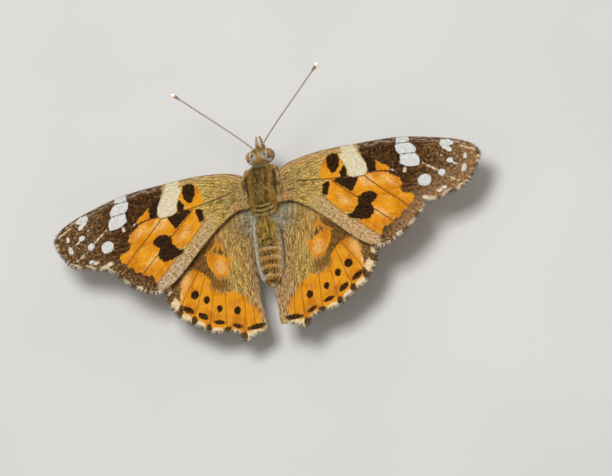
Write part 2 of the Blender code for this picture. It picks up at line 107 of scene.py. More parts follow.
HIND_ROOT = [(BURIED_ROOT, 2), (BURIED_ROOT, -8.5)]
HIND_COSTA = [(5, -8), (13.3, -7), (26.7, 0.7), (38.3, 11), (45.3, 20)]
HIND_APEX = [(46.6, 24.7), (45.8, 28.7), (45.2, 32), (43.7, 35), (41.3, 38.7)]
HIND_MARGIN = [(39.7, 41), (37, 43), (33.3, 45.3), (30, 47.3), (27, 49.7),
               (24.5, 50.7), (21, 51.7), (17.7, 51.3), (15.3, 52.2), (12.3, 53)]
HIND_LOBE = [(10.8, 55.3), (9.7, 57.5), (7.3, 57.7), (5, 56.2), (1.7, 54.8)]
HIND_INNER = {
    "left": [(-1.8, 53.5), (-1.7, 47.7), (-0.3, 40), (0.5, 32), (0.7, 22), (0.7, 12), (0.7, 6)],
    "right": [(-2, 53.7), (-4, 52.7), (-4.7, 42.4), (-5.3, 36.7), (-1.7, 31.7), (0.7, 23.7), (1, 14.7), (0.3, 6)],
}

VEINS = {
    "fore": {
        "subcosta": [(3.3, -13), (16.7, -14.8), (33.3, -15.2), (48.3, -14.8)],
        "radius 1": [(4, -11.7), (16.3, -13.3), (30.3, -13.2), (43.3, -14), (58.3, -13.3), (70, -11.5)],
        "radius 5": [(30.3, -13.2), (40.7, -11), (51.7, -12), (61, -11.2), (66.7, -10.3), (75, -8),
                     (83.3, -5.3), (97.7, 0.7)],
        "cubitus": [(3.7, -5.7), (12.3, -3), (25.3, -0.7), (33.7, 0.3), (44, 2)],
        "cell end": [(40.7, -11), (43.3, -7.7), (45.3, -3), (45.3, 0.3), (44, 2)],
        "media 1": [(43.3, -7.7), (51.7, -6.3), (62.3, -5.3), (69.3, -4.3), (81.7, -0.3), (96.7, 7.3)],
        "media 2": [(45.3, 0.3), (51.7, 1.2), (56.7, 3), (61, 6.3), (73.3, 13.3), (85, 18)],
        "media 3": [(44, 2), (46.7, 5), (53.3, 11.7), (60, 18), (66.7, 26.3)],
        "cubital 1": [(28, 0.7), (33.3, 6.3), (39.3, 11.7), (47, 19.5), (55.7, 27.8), (61, 33)],
        "cubital 2": [(18.3, -1), (23.3, 7.7), (32, 18), (40.7, 26.3), (49.3, 34.3)],
        "anal": [(4, -2), (15, 7), (27, 19), (37, 29), (44.3, 36.7)],
    },
    "hind": {
        "costal": [(5, -4), (15, -2.7), (26.7, 5), (36.7, 15.3), (43, 26.7), (44, 30.7)],
        "radial sector": [(4, 0), (10, 0.7), (17.3, 6), (24.7, 13.3), (30.7, 22), (36.3, 30.7), (40.3, 38)],
        "media 1": [(17.3, 6), (22.7, 14.7), (26.7, 24.7), (29.7, 34), (33, 43)],
        "media 2": [(22.7, 14.7), (21, 19.3), (22, 26.7), (23, 34), (25.3, 47.7)],
        "cubitus": [(4, 0), (8.7, 6), (12, 12), (15, 20.7), (21, 19.3)],
        "media 3": [(15, 20.7), (16.3, 27.3), (16.7, 35), (17.2, 50)],
        "cubital 1": [(12, 12), (10.7, 20.7), (9.7, 28.7), (7.7, 40), (9, 54.7)],
        "cubital 2": [(8.7, 6), (6.3, 20), (4.7, 31.7), (3.7, 42.7), (3.7, 52)],
    },
}

# Wing skin: lengths along the chart in its hundredths, heights in millimetres

SKIN_THICKNESS = 0.16
EDGE_THICKNESS = 0.06
EDGE_TAPER = 2
VEIN_RELIEF = 0.05
VEIN_REACH = 0.45
PLEAT_DEPTH = 0.07
PLEAT_REACH = 5
GRID_STEP = 0.75
FRINGE_INSET = 0.9

# Markings of the upper side: outlines on the wing's chart, painted in this order

MARKINGS = {
    "fore": {
        "dun": {
            "trailing band": [(16.5, 5), (24.5, 9.5), (33, 19), (39, 24.5), (50, 34.5), (49.5, 40.5),
                              (33.5, 31.5), (20, 15)],
        },
        "dark": {
            "outer half": [(41.5, -17.5), (42.5, -10.5), (45.5, 1.5), (56.5, 13.5), (55, 23.5),
                           (48.5, 30.5), (48.5, 41.5), (63.5, 40), (80, 26.5), (103.5, 16.5), (103.5, -10),
                           (80, -18.5)],
        },
        "orange": {
            "in the cell": [(25.5, -11.5), (23, -6.5), (22, -2), (25.5, 0), (29, 0.8), (31.5, 0.8), (32, -3),
                            (34.5, -6.5), (33.5, -9), (32, -11)],
            "below the cell": [(26.2, 0.1), (28.8, 0.1), (31, 1.6), (35, 5.2), (40.5, 10.8), (41, 15.5), (36, 18.5),
                               (33, 18.5), (28.5, 14.5), (24.5, 9.5), (25.5, 6)],
            "outer": [(37.5, 8), (40.5, 3), (43, 1.5), (48.5, 1), (52.5, 1.5), (57, 4), (60.5, 6.5), (61, 9.5),
                      (60, 12.5), (62, 14.5), (65, 15), (66.5, 17.5), (65.5, 19.5), (63.5, 20.5), (63, 22.5),
                      (60, 23), (59, 25.5), (56.5, 26.5), (55, 28.5), (51.5, 29), (49.5, 30.5), (49.5, 33.5),
                      (47.5, 32), (42, 27.5), (39, 24.5), (41.5, 21.5), (41.5, 15), (39.5, 11.5)],
            "wedge": [(50, -4.5), (52.5, -3), (55.5, -0.5), (57.5, 2), (54, 1), (49.5, 0.5)],
        },
        "black": {
            "cell spot": [(26.3, -12.4), (29, -13), (32, -12.4), (32.6, -8.5), (31.8, -5.2), (30.2, -3.2),
                          (28.3, -3), (27, -5), (26, -8.5)],
            "cell bar": [(34.5, -6), (35.5, -3.5), (35.5, 0.5), (32.5, 1), (32, -2.5)],
            "below the cell": [(28, 0.4), (32.5, 0.3), (41, 1.5), (39.6, 4.6), (37.1, 8.6), (33.8, 5.8), (30.5, 2.6)],
            "inner bar": [(23.4, 1.2), (26.4, 0.4), (26.8, 2.4), (26, 5), (25.2, 7.5), (22.8, 7), (23, 3.5)],
            "middle": [(39.5, 11.5), (43.5, 10), (47.5, 10.5), (49.5, 13), (47.5, 15), (46, 16.5), (47, 20.5),
                       (44.5, 24), (40, 23.5), (35, 21.5), (33.5, 19.5), (36.5, 19), (39.5, 15.5)],
            "beyond the cell": [(43, -9.5), (47.5, -7.5), (49.5, -4), (49.5, 0.5), (47.5, 1), (46, 0.5),
                                (45.5, -4)],
        },
        "ivory": {
            "cell end": [(33.6, -12.2), (41.8, -11), (43.8, -7.5), (45.4, -3.5), (45.7, -0.3), (43.6, 1.5),
                         (38.5, 1.4), (36.2, 0), (35.8, -4), (34.4, -7.5), (33, -9.8)],
            "costa": [(33, -16.5), (39.4, -16.5), (40.8, -13), (42, -10.8), (36, -10.8), (34.2, -12.4)],
        },
        "white": {
            "bar top": [(61, -14.6), (66.5, -13.8), (67, -11), (60.6, -11.2)],
            "bar middle": [(59.8, -10.7), (66.5, -10.5), (68.6, -8.8), (69.7, -6.4), (69.3, -5), (65, -5.1),
                           (61.8, -5.4), (60, -7.8)],
            "bar end": [(61.8, -5), (68.6, -4.5), (70.4, -2.8), (71, 0), (70.3, 2), (68, 2), (65.8, 1.9),
                        (62.6, 0.2), (61.3, -1), (61.8, -2.6)],
            "apex": [(80.8, -7.2), (81.8, -8.7), (85.2, -8.6), (87.8, -6.6), (87, -5.1), (85.2, -5),
                     (86.7, -2.8), (86.2, -1.8), (84.9, -2), (82.6, -4), (81, -6)],
        },
    },
    "hind": {
        "dun": {
            "grey patch": [(15, 25.5), (17.5, 25.5), (20, 24.5), (22.5, 21.5), (24.5, 23.5), (23.5, 28),
                           (21.5, 29.5), (17.5, 31.5), (15, 30.5)],
        },
        "dark": {
            "band": [(19.5, 4.5), (22.5, 5.8), (28, 10), (34, 12.5), (40.5, 20.5), (46, 22.5), (47, 29.5),
                     (43.5, 34.5), (37, 34.5), (35.5, 24), (32, 20.5), (28, 21.5), (25.5, 24.5), (22, 23.5),
                     (21, 18), (22.5, 14), (21.5, 11), (20, 8)],
            "wedge": [(18, 7.5), (21.5, 10.5), (18.5, 12.5), (14.5, 14.5), (14.5, 12.5), (16.5, 10)],
        },
        "orange": {
            "outer": [(32, 17.5), (35, 19.5), (38, 24), (38.5, 28.5), (40.5, 36), (38.5, 40), (34.5, 44),
                      (28.5, 48.5), (24.5, 50.5), (18, 52), (12.5, 53.5), (9, 55), (1.5, 53.5), (0.5, 46),
                      (2, 42), (5.5, 39.5), (6.5, 36.5), (10.5, 33.5), (12.5, 31.5), (15.5, 32.5), (18, 32.5),
                      (21.5, 30.5), (23.5, 28.5), (23.5, 24.5), (24.5, 22.5), (28.5, 19)],
            "in the cell": [(12.5, 15.5), (15, 15), (18, 13), (21.5, 11.5), (24, 11.5), (24.5, 14), (23.5, 18),
                            (21.5, 21.5), (19.5, 24), (16.5, 24.5), (14.5, 23.5), (13.5, 20.5)],
            "ray": [(17.3, 6.3), (18.1, 5.7), (25.2, 11.8), (24.2, 12.8)],
            "inner ray": [(16.8, 6.4), (17.6, 6.6), (16, 15), (14.8, 15)],
            "middle ray": [(17.2, 6.6), (18, 6.6), (20.2, 13), (19.2, 13)],
        },
    },
}

# Round marks of the upper side: x, y, half width, half height, turn in degrees

SPOTS = {
    "fore": {
        "worn": [(44.5, 4, 4.5, 2.6, 35), (55, 6, 3.5, 1.4, 40), (50, 22, 4, 1.6, 40), (33, 12, 3, 1.4, 50)],
        "white": [(72.2, 10.1, 3.2, 3, 0), (80.5, 7.8, 1.7, 1.7, 0), (84.9, 2.5, 1.4, 1.3, 0), (86.9, 4.2, 1.8, 0.4, 38),
                  (91.1, 7.5, 1.1, 2, 20), (92.2, 1.6, 0.8, 1.4, 10), (80.8, 15.7, 1.5, 1, 0),
                  (81.4, -0.5, 0.5, 0.5, 0), (57.4, 1.9, 1.1, 0.5, 40)],
        "ivory": [(63.3, 2.9, 0.8, 1.4, 0), (76, 4.3, 3.4, 0.4, 38), (94.2, -2, 4.6, 0.5, 26),
                  (78.8, 16.7, 1.7, 0.7, 0), (89.5, 15.6, 2.2, 0.8, -30), (82, 18, 2.4, 0.8, -20),
                  (74, 20.5, 2.4, 1.2, -25), (71.7, 18.7, 1.9, 1, 0), (57.5, 34, 2.3, 0.7, -30),
                  (98, 6.5, 0.6, 1.6, 15), (85.5, 12, 3.2, 0.35, 32)],
    },
    "hind": {
        "worn": [(35.6, 22.6, 2, 4.4, -20), (17.6, 19, 2.4, 3.4, 10)],
        "black": [(31.5, 30.5, 2.1, 2.2, 0), (26, 34, 1.5, 2.1, 0), (20, 39.5, 1.4, 1.9, 0),
                  (11.5, 42, 1.6, 2.1, 0), (35.3, 37.3, 3.4, 1.4, -33), (28.3, 41.7, 2.9, 1.5, -36),
                  (20.6, 46.3, 2.7, 1.2, -15), (12.2, 49.4, 2.7, 1.1, -28), (3, 51.5, 4.6, 1.4, 5)],
        "ivory": [(44.8, 26, 2.1, 3.2, 0), (41.4, 33.4, 2.3, 3.6, 20), (36.5, 41.2, 3.4, 1.7, -35),
                  (30, 45.9, 3, 1.9, -35), (22.4, 49.8, 3.3, 1.4, -15), (14.8, 51.9, 3, 1.1, -5),
                  (4.5, 54.4, 5, 1.4, 5), (11.3, 54.8, 1.2, 1.6, 0), (38, 29.8, 0.4, 1.8, -10)],
        "tips": [(43.3, 29.6, 1.6, 2.2, -20), (39.4, 38, 1.4, 4, -18), (32.8, 43.2, 1.5, 2.3, -10),
                 (26, 48.1, 1.6, 2.2, 0), (16.8, 50.2, 2.1, 1.1, 0), (9.2, 55, 1.7, 2, 0)],
    },
}
OCELLI = {
    "fore": [(72.5, 9.5, 2.4), (80.5, 8, 2), (85, 2.5, 1.7)],
    "hind": [(38, 23.5, 2.6), (31.5, 30.5, 3.4), (26, 34.5, 2.2), (20, 39.5, 2.2), (11, 42.5, 3.2)],
}
PAINTED = ("dun", "dark", "orange", "worn", "black", "ivory", "white", "tips")
FAR_OUTSIDE = -9

# The way a hindwing's veins run: their slant at each x of its chart, and the y where they are counted

VEIN_SLANT = (-0.15, 0.0007)
VEIN_LEVEL = 25

# Body: y, middle z, half width and half height of the skin, which the coat covers

SKIN_SECTIONS = [
    (-7.52, -0.70, 0.20, 0.22),
    (-7.42, -0.70, 0.50, 0.55),
    (-7.15, -0.68, 0.84, 0.92),
    (-6.70, -0.62, 1.12, 1.16),
    (-6.15, -0.60, 1.20, 1.22),
    (-5.60, -0.62, 1.10, 1.12),
    (-5.15, -0.66, 0.94, 0.92),
    (-4.80, -0.70, 1.02, 0.96),
    (-4.45, -0.74, 1.42, 1.24),
    (-4.00, -0.78, 1.84, 1.56),
    (-3.00, -0.85, 2.22, 1.90),
    (-1.50, -0.90, 2.36, 2.08),
    (0.30, -0.90, 2.22, 2.03),
    (1.80, -0.95, 1.98, 1.78),
    (2.70, -1.00, 1.56, 1.42),
    (3.10, -1.00, 1.46, 1.34),
    (3.60, -1.00, 1.62, 1.50),
    (4.75, -1.02, 1.80, 1.66),
    (7.11, -1.08, 1.88, 1.72),
    (9.17, -1.14, 1.84, 1.64),
    (10.93, -1.20, 1.70, 1.48),
    (12.26, -1.26, 1.32, 1.14),
    (13.09, -1.30, 0.80, 0.70),
    (13.45, -1.32, 0.30, 0.28),
]
BODY_ROWS = 300
BODY_SIDES = 96
THORAX_REAR = 2.9
ABDOMEN_FRONT = 3.2
ABDOMEN_LENGTH = 10.3
ABDOMEN_RINGS = 8
RING_RELIEF = 0.07
ABDOMEN_SIDE_BEND = -0.15
SHOULDER_Y = -2.4
SHOULDER_TURN = 0.98
SHOULDER_SWELL = 0.38
# The cleft beside the right shoulder, bare of hair and painted near black as shadow
CLEFT_MIDDLE = (-1.92, -2.45)
CLEFT_HALF_SIZE = (0.20, 0.55)

SHOULDER_PATH = [(1.90, -4.3, 0.30), (2.46, -3.0, 0.52), (2.76, -1.4, 0.50), (2.92, 0.1, 0.36), (3.00, 1.0, 0.20)]
EYE_MIDDLE = (1.10, -6.2, -0.45)
EYE_HALF_SIZE = (1.05, 1.00, 1.18)
ANTENNA_PATH = [(0.50, -6.75, 0.30), (0.95, -7.35, 0.95), (3.30, -9.60, 1.85), (7.00, -12.90, 3.00),
                (11.05, -16.50, 4.30)]
SHAFT_RADIUS = 0.10
CLUB_RADIUS = 0.27
CLUB_START = 0.85
CLUB_WIDEST = 0.955
ANTENNA_JOINTS = 38
PALP_PATH = [(0.44, -6.80, -1.20), (0.44, -7.50, -1.00), (0.35, -8.25, -0.55), (0.25, -8.95, -0.15)]
PALP_RADII = [0.30, 0.26, 0.16, 0.05]
COIL_MIDDLE = (0, -7.35, -3.00)
COIL_OUTER = 0.92
COIL_PITCH = 0.27
COIL_TURNS = 2.7
TONGUE_RADII = (0.13, 0.06)
TONGUE_ROOT = [(0, -6.40, -1.60), (0, -6.30, -2.35)]

FLOOR = -HINGE_HEIGHT
SOLE = FLOOR + 0.16
LEGS = {
    "foreleg": [(0.75, -3.6, -2.0), (1.00, -4.1, -3.3), (1.25, -5.6, -3.8), (1.50, -4.0, -4.6)],
    "midleg": [(1.00, -1.4, -2.2), (1.50, -1.8, -3.7), (4.70, -3.4, -2.45), (6.90, -4.6, -6.2), (9.60, -6.6, SOLE)],
    "hindleg": [(1.00, 0.9, -2.1), (1.50, 1.4, -3.6), (4.50, 3.6, -2.5), (6.30, 7.0, -6.2), (8.00, 10.4, SOLE)],
}
LEG_RADII = [(0.36, 0.26), (0.26, 0.17), (0.14, 0.13), (0.10, 0.08)]
LEG_SCALES = [(420, 0.30), (620, 0.26), (320, 0.20), (150, 0.10)]
FOOT_JOINTS = 5

# Unwrap: half the size of a tuft's patch, and the box of a lone tube

PATCH = 0.0015
WHOLE = (0.03, 0.03, 0.97, 0.97)


# Shapes


def smooth_path(points, spacing, closed=False):
    """Points about this far apart on a smooth curve through the given ones."""
    given = np.array(points, float)
    padded = [given[-1:], given, given[:2]] if closed else [given[:1], given, given[-1:]]
    padded = np.concatenate(padded)
    found = []
    for before, start, end, after in zip(padded, padded[1:], padded[2:], padded[3:]):
        steps = max(1, round(float(np.linalg.norm(end - start)) / spacing))
        t = np.arange(steps)[:, None] / steps
        bend = (2 * before - 5 * start + 4 * end - after) * t ** 2 + (3 * start - before - 3 * end + after) * t ** 3
        found.append(start + 0.5 * ((end - before) * t + bend))
    return np.concatenate(found if closed else found + [given[-1:]])


def distances(points, line):
    """How far each point lies from a line of points."""
    nearest = np.full(len(points), np.inf)
    for start, along in zip(line, np.diff(line, axis=0)):
        t = np.clip((points - start) @ along / (along @ along), 0, 1)
        nearest = np.minimum(nearest, np.hypot(*(points - start - t[:, None] * along).T))
    return nearest


def inside(points, outline):
    """Which points lie within a closed outline."""
    x, y = points.T
    crossings = np.zeros(len(points), int)
    for start, end in zip(outline, np.roll(outline, -1, axis=0)):
        rise = end[1] - start[1] if end[1] != start[1] else 1
        crossings += ((start[1] > y) != (end[1] > y)) & (x < start[0] + (y - start[1]) / rise * (end[0] - start[0]))
    return crossings % 2 == 1


def signed_depth(points, outline):
    """How far each point lies inside a closed outline, negative outside."""
    outline = np.array(outline)
    edge = distances(points, np.concatenate([outline, outline[:1]]))
    return np.where(inside(points, outline), edge, -edge)


def oval_depth(points, oval):
    """How far each point lies inside an oval spot, negative outside."""
    x, y, half_width, half_height, turn = oval
    cosine, sine = math.cos(math.radians(turn)), math.sin(math.radians(turn))
    across, along = (points - (x, y)).T
    away = np.hypot((across * cosine + along * sine) / half_width, (along * cosine - across * sine) / half_height)
    return (1 - away) * min(half_width, half_height)


def unit(vectors):
    return vectors / np.maximum(np.linalg.norm(vectors, axis=-1, keepdims=True), 1e-12)


def fade(values, low, high):
    """Goes evenly from 0 at low to 1 at high."""
    return np.clip((values - low) / (high - low), 0, 1)


class Shape:
    """Triangles gathered for one piece, with the unwrap of each corner and the layers of each point."""

    def __init__(self):
        self.points, self.triangles, self.unwrap, self.layers = [], [], [], {}
        self.count = 0

    def add(self, points, triangles, unwrap, **layers):
        """Adds points, triangles of them, three unwrap places for each triangle, and layer values."""
        self.points.append(points)
        self.triangles.append(triangles + self.count)
        self.unwrap.append(unwrap.reshape(-1, 2))
        for name, values in layers.items():
            values = np.full(len(points), values) if np.ndim(values) == 0 else values
            self.layers.setdefault(name, []).append(values)
        self.count += len(points)

    def build(self, name, material, slot, *replaced):
        """The finished piece, which rides with the body and stands for the replaced solids."""
        mesh = bpy.data.meshes.new(name)
        points = np.concatenate(self.points) * MILLIMETRE + ORIGIN
        mesh.from_pydata(points.tolist(), [], np.concatenate(self.triangles).tolist())
        for layer_name, values in self.layers.items():
            values = np.concatenate(values).astype(np.float32)
            kind, key = ("FLOAT", "value") if values.ndim == 1 else ("FLOAT_VECTOR", "vector")
            mesh.attributes.new(layer_name, kind, "POINT").data.foreach_set(key, values.ravel())
        chart = mesh.uv_layers.new(name="OFBake")
        chart.uv.foreach_set("vector", np.concatenate(self.unwrap).astype(np.float32).ravel())
        mesh.materials.append(material)
        mesh.shade_smooth()
        piece = bpy.data.objects.new(name, mesh)
        bpy.context.scene.collection.objects.link(piece)
        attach(piece, "root")
        if replaced:
            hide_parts(*replaced)


LOFT_CELLS = np.array([[(0, 0), (1, 0), (1, 1)], [(0, 0), (1, 1), (0, 1)]])


def loft(rows, box=WHOLE):
    """Points, triangles, unwrap and the row of each point, of a skin over rings that ends in points."""
    count, sides = rows.shape[:2]
    cells = np.stack(np.meshgrid(np.arange(-1, count), np.arange(sides), indexing="ij"), -1).reshape(-1, 2)
    first = cells[cells[:, 0] < count - 1][:, None] + LOFT_CELLS[0]
    second = cells[cells[:, 0] >= 0][:, None] + LOFT_CELLS[1]
    row, side = np.moveaxis(np.concatenate([first, second]), -1, 0)
    on_row = np.clip(row, 0, count - 1)
    triangles = on_row * sides + side % sides
    triangles[row < 0] = count * sides
    triangles[row == count] = count * sides + 1
    low, size = np.array(box[:2]), np.array(box[2:]) - box[:2]
    unwrap = low + size * np.stack([side / sides, on_row / (count - 1)], -1)
    points = np.concatenate([rows.reshape(-1, 3), rows[:1].mean(axis=1), rows[-1:].mean(axis=1)])
    return points, triangles, unwrap, np.append(np.repeat(np.arange(count), sides), [0, count - 1])


def add_tube(shape, path, radii, along, sides=16, box=WHOLE, flatten=1, **layers):
    """Adds a closed tube round a path, without twist."""
    ahead = unit(np.gradient(path, axis=0))
    across = np.array([1, 0, 0]) if abs(ahead[0][0]) < 0.9 else np.array([0, 1, 0])
    turns = 2 * math.pi * np.arange(sides)[:, None] / sides
    rows = []
    for point, direction, radius in zip(path, ahead, radii):
        across = unit(across - direction * (across @ direction))
        other = np.cross(direction, across)
        rows.append(point + (np.cos(turns) * across + np.sin(turns) * other * flatten) * radius)
    points, triangles, unwrap, row = loft(np.array(rows), box)
    shape.add(points, triangles, unwrap, place=points, along=along[row], shade=0.6, tip=0, **layers)


TUFT_FACES = np.array([(0, 1, 2), (0, 3, 4), (0, 4, 1), (1, 4, 5), (1, 5, 2), (2, 5, 3), (2, 3, 0),
                       (3, 6, 4), (4, 6, 5), (5, 6, 3)])
TUFT_PLACES = np.array([(-1, -1), (1, -1), (0, -1), (-0.8, 0.2), (0.8, 0.2), (0, 0.2), (0, 1)])


def add_tufts(shape, roots, lies, normals, lengths, widths, rise, curl, places, random, **layers):
    """Adds a tapered, bent tuft at each root: lies gives its direction, rise its angle off the skin."""
    count = len(roots)
    lengths = np.reshape(lengths * (0.7 + 0.6 * random.random(count)), (-1, 1))
    widths = np.reshape(widths * (0.7 + 0.6 * random.random(count)), (-1, 1))
    first = (rise + 0.25 * random.standard_normal(count))[:, None]
    lies = unit(lies - normals * np.sum(lies * normals, axis=1, keepdims=True))
    side = np.cross(lies, normals) * widths
    lift = normals * widths
    start = roots - lift * 0.5
    middle = roots + (lies * np.cos(first) + normals * np.sin(first)) * lengths * 0.5
    tip = middle + (lies * np.cos(first - curl) + normals * np.sin(first - curl)) * lengths * 0.5
    corners = [start - side * 0.4, start + side * 0.4, start + lift * 0.4,
               middle - side * 0.5, middle + side * 0.5, middle + lift * 0.35, tip]
    each = {name: np.repeat(values, 7, axis=0) if np.ndim(values) else values for name, values in layers.items()}
    shape.add(np.stack(corners, axis=1).reshape(-1, 3),
              (np.arange(count)[:, None, None] * 7 + TUFT_FACES).reshape(-1, 3),
              places[:, None, None, :] + TUFT_PLACES[TUFT_FACES] * PATCH,
              shade=np.repeat(random.random(count), 7), tip=np.tile([0, 0, 0, 0.5, 0.5, 0.5, 1], count), **each)


def add_tube_scales(shape, path, radii, count, length, width, rise, curl, box, random, start=0, **layers):
    """Adds scales that lie along a tube, at random places on it."""
    along, turn = random.random((2, count))
    share = np.linspace(0, 1, len(path))
    middle = np.stack([np.interp(along, share, path[:, i]) for i in range(3)], axis=1)
    ahead = unit(np.gradient(path, axis=0))[(along * (len(path) - 1)).astype(int)]
    across = unit(np.cross(ahead, (0, 0, 1)))
    angle = 2 * math.pi * turn[:, None]
    normals = across * np.cos(angle) + np.cross(across, ahead) * np.sin(angle)
    roots = middle + normals * np.interp(along, share, radii)[:, None]
    places = np.array(box[:2]) + (np.array(box[2:]) - box[:2]) * np.stack([turn, along], axis=1)
    add_tufts(shape, roots, ahead, normals, length, width, rise, curl, places, random, place=roots,
              along=start + along, **layers)


# Material fields


def srgb(code):
    """The linear colour of six hexadecimal sRGB digits."""
    values = [int(code[i:i + 2], 16) / 255 for i in (0, 2, 4)]
    return (*(((value + 0.055) / 1.055) ** 2.4 for value in values), 1)


class Field:
    """A value that varies over a surface: the output of a shader node, which takes arithmetic."""

    tree = None

    def __init__(self, kind, inputs, output=0, **settings):
        node = Field.tree.nodes.new("ShaderNode" + kind)
        for key, value in settings.items():
            setattr(node, key, value)
        for key, value in inputs.items():
            if isinstance(value, Field):
                Field.tree.links.new(value.socket, node.inputs[key])
            else:
                node.inputs[key].default_value = srgb(value) if isinstance(value, str) else value
        self.socket = node.outputs[output]

    def __add__(self, other):
        return maths("ADD", self, other)

    def __sub__(self, other):
        return maths("SUBTRACT", self, other)

    def __mul__(self, other):
        return maths("MULTIPLY", self, other)


def begin(name, **constants):
    """A new material, in whose tree the fields made next are written."""
    material = bpy.data.materials.new(name)
    material.use_nodes = True
    Field.tree = material.node_tree
    for key, value in constants.items():
        Field.tree.nodes["Principled BSDF"].inputs[key.replace("_", " ")].default_value = value
    return material


def finish(colour, roughness, height, depth):
    """Gives the material a colour, a roughness that varies, and a bump of this depth in metres."""
    bump = Field("Bump", {"Strength": 1, "Distance": depth, "Height": height})
    for key, value in (("Base Color", colour), ("Roughness", roughness), ("Normal", bump)):
        Field.tree.links.new(value.socket, Field.tree.nodes["Principled BSDF"].inputs[key])


def maths(operation, *values):
    return Field("Math", dict(enumerate(values)), operation=operation)


def layer(name, output="Fac"):
    return Field("Attribute", {}, output, attribute_name=name)


def parts(vector):
    return [Field("SeparateXYZ", {0: vector}, i) for i in range(3)]


def ease(value, low, high, start=0, end=1):
    """Goes smoothly from start to end as the value goes from low to high."""
    inputs = {"Value": value, "From Min": low, "From Max": high, "To Min": start, "To Max": end}
    return Field("MapRange", inputs, interpolation_type="SMOOTHSTEP")


def band(value, middle, half, soft):
    """1 where the value is within half of middle, 0 beyond."""
    return ease(maths("ABSOLUTE", value - middle), half - soft, half + soft, 1, 0)


def spot(x, y, middle, half):
    """1 within an upright oval, 0 outside it."""
    across, along = (x - middle[0]) * (1 / half[0]), (y - middle[1]) * (1 / half[1])
    return ease(across * across + along * along, 1.35, 0.75)


def scaled(vector, x, y, z):
    return Field("VectorMath", {0: vector, 1: (x, y, z)}, operation="MULTIPLY")


def noise(vector, scale, detail=2, roughness=0.5):
    vector = scaled(vector, *scale) if isinstance(scale, tuple) else scaled(vector, scale, scale, scale)
    return Field("TexNoise", {"Vector": vector, "Scale": 1, "Detail": detail, "Roughness": roughness})


def cells(vector, scale, randomness):
    return Field("TexVoronoi", {"Vector": scaled(vector, *scale), "Scale": 1, "Randomness": randomness})


def mix(factor, a, b):
    return Field("Mix", {0: factor, 6: a, 7: b}, 2, data_type="RGBA")


def tone(value, a, b, low=0.35, high=0.65):
    """Two colours mixed by a noise."""
    return mix(ease(value, low, high), a, b)


# Wing materials


def hair_colour(w):
    """Golden hair of a wing's inner part, streaked along its veins."""
    if w.kind == "fore":
        colour = tone(w.streak, "8e6c28", "e6c062", 0.40, 0.60)
    else:
        colour = tone(w.streak, "7a581e", "daaa56", 0.40, 0.60)
    colour = mix(ease(w.cloud, 0.45, 0.65, 0, 0.4), colour, "9c944e")
    colour = mix(ease(w.patch, 0.48, 0.66, 0, 0.6), colour, "c68c40")
    colour = mix(ease(w.thread, 0.54, 0.66, 0, 0.55), colour, "f2d488")
    colour = mix(ease(w.thread, 0.46, 0.34, 0, 0.65), colour, "5a421a")
    colour = mix(ease(w.blotch, 0.48, 0.36, 0, 0.5), colour, "64481e")
    colour = mix(ease(w.grit, 0.54, 0.62, 0, 0.65), colour, "f2d894")
    colour = mix(ease(w.grit, 0.46, 0.38, 0, 0.65), colour, "503c1a")
    near = ease(w.reach, 24, 12)
    colour = mix(near * ease(w.grit, 0.47, 0.40, 0, 0.7), colour, "2c2212")
    colour = mix(near * ease(w.grit, 0.55, 0.62, 0, 0.6), colour, "f4e4bc")
    if w.kind == "fore":
        line = ease(w.vein + w.ragged * 0.5, 0.15, 0.65, 0.85, 0) * ease(w.x, 5, 14) * band(w.y, -2.5, 3.6, 0.8)
        colour = mix(line, colour, "4a3212")
        flush = spot(w.x, w.y, (5.5, 4), (3, 1.6)) * ease(w.thread, 0.46, 0.56, 0, 0.85)
        return mix(flush, colour, "ea9a60")
    grey = ease(w.reach, 19, 10) * ease(w.thread, 0.35, 0.6, 0.25, 0.85)
    colour = mix(grey, colour, tone(w.grit, "5a686a", "c0c2ac"))
    edge = ease(w.x, 6, 2) * ease(w.y, 5, 18, 0, 0.75)
    return mix(edge, colour, tone(w.thread, "5c3e20", "d8b080", 0.42, 0.58))


def costal_colour(w):
    """Pale and brown lines that run along a forewing's front edge."""
    across = Field("CombineXYZ", {0: w.costal * 1.7, 1: w.x * 0.22})
    lines = noise(across, 1, 3, 0.6)
    return mix(ease(w.x, 40, 44), tone(lines, "8a6434", "d8b684", 0.42, 0.60),
               tone(lines, "342210", "b0947a", 0.42, 0.62))


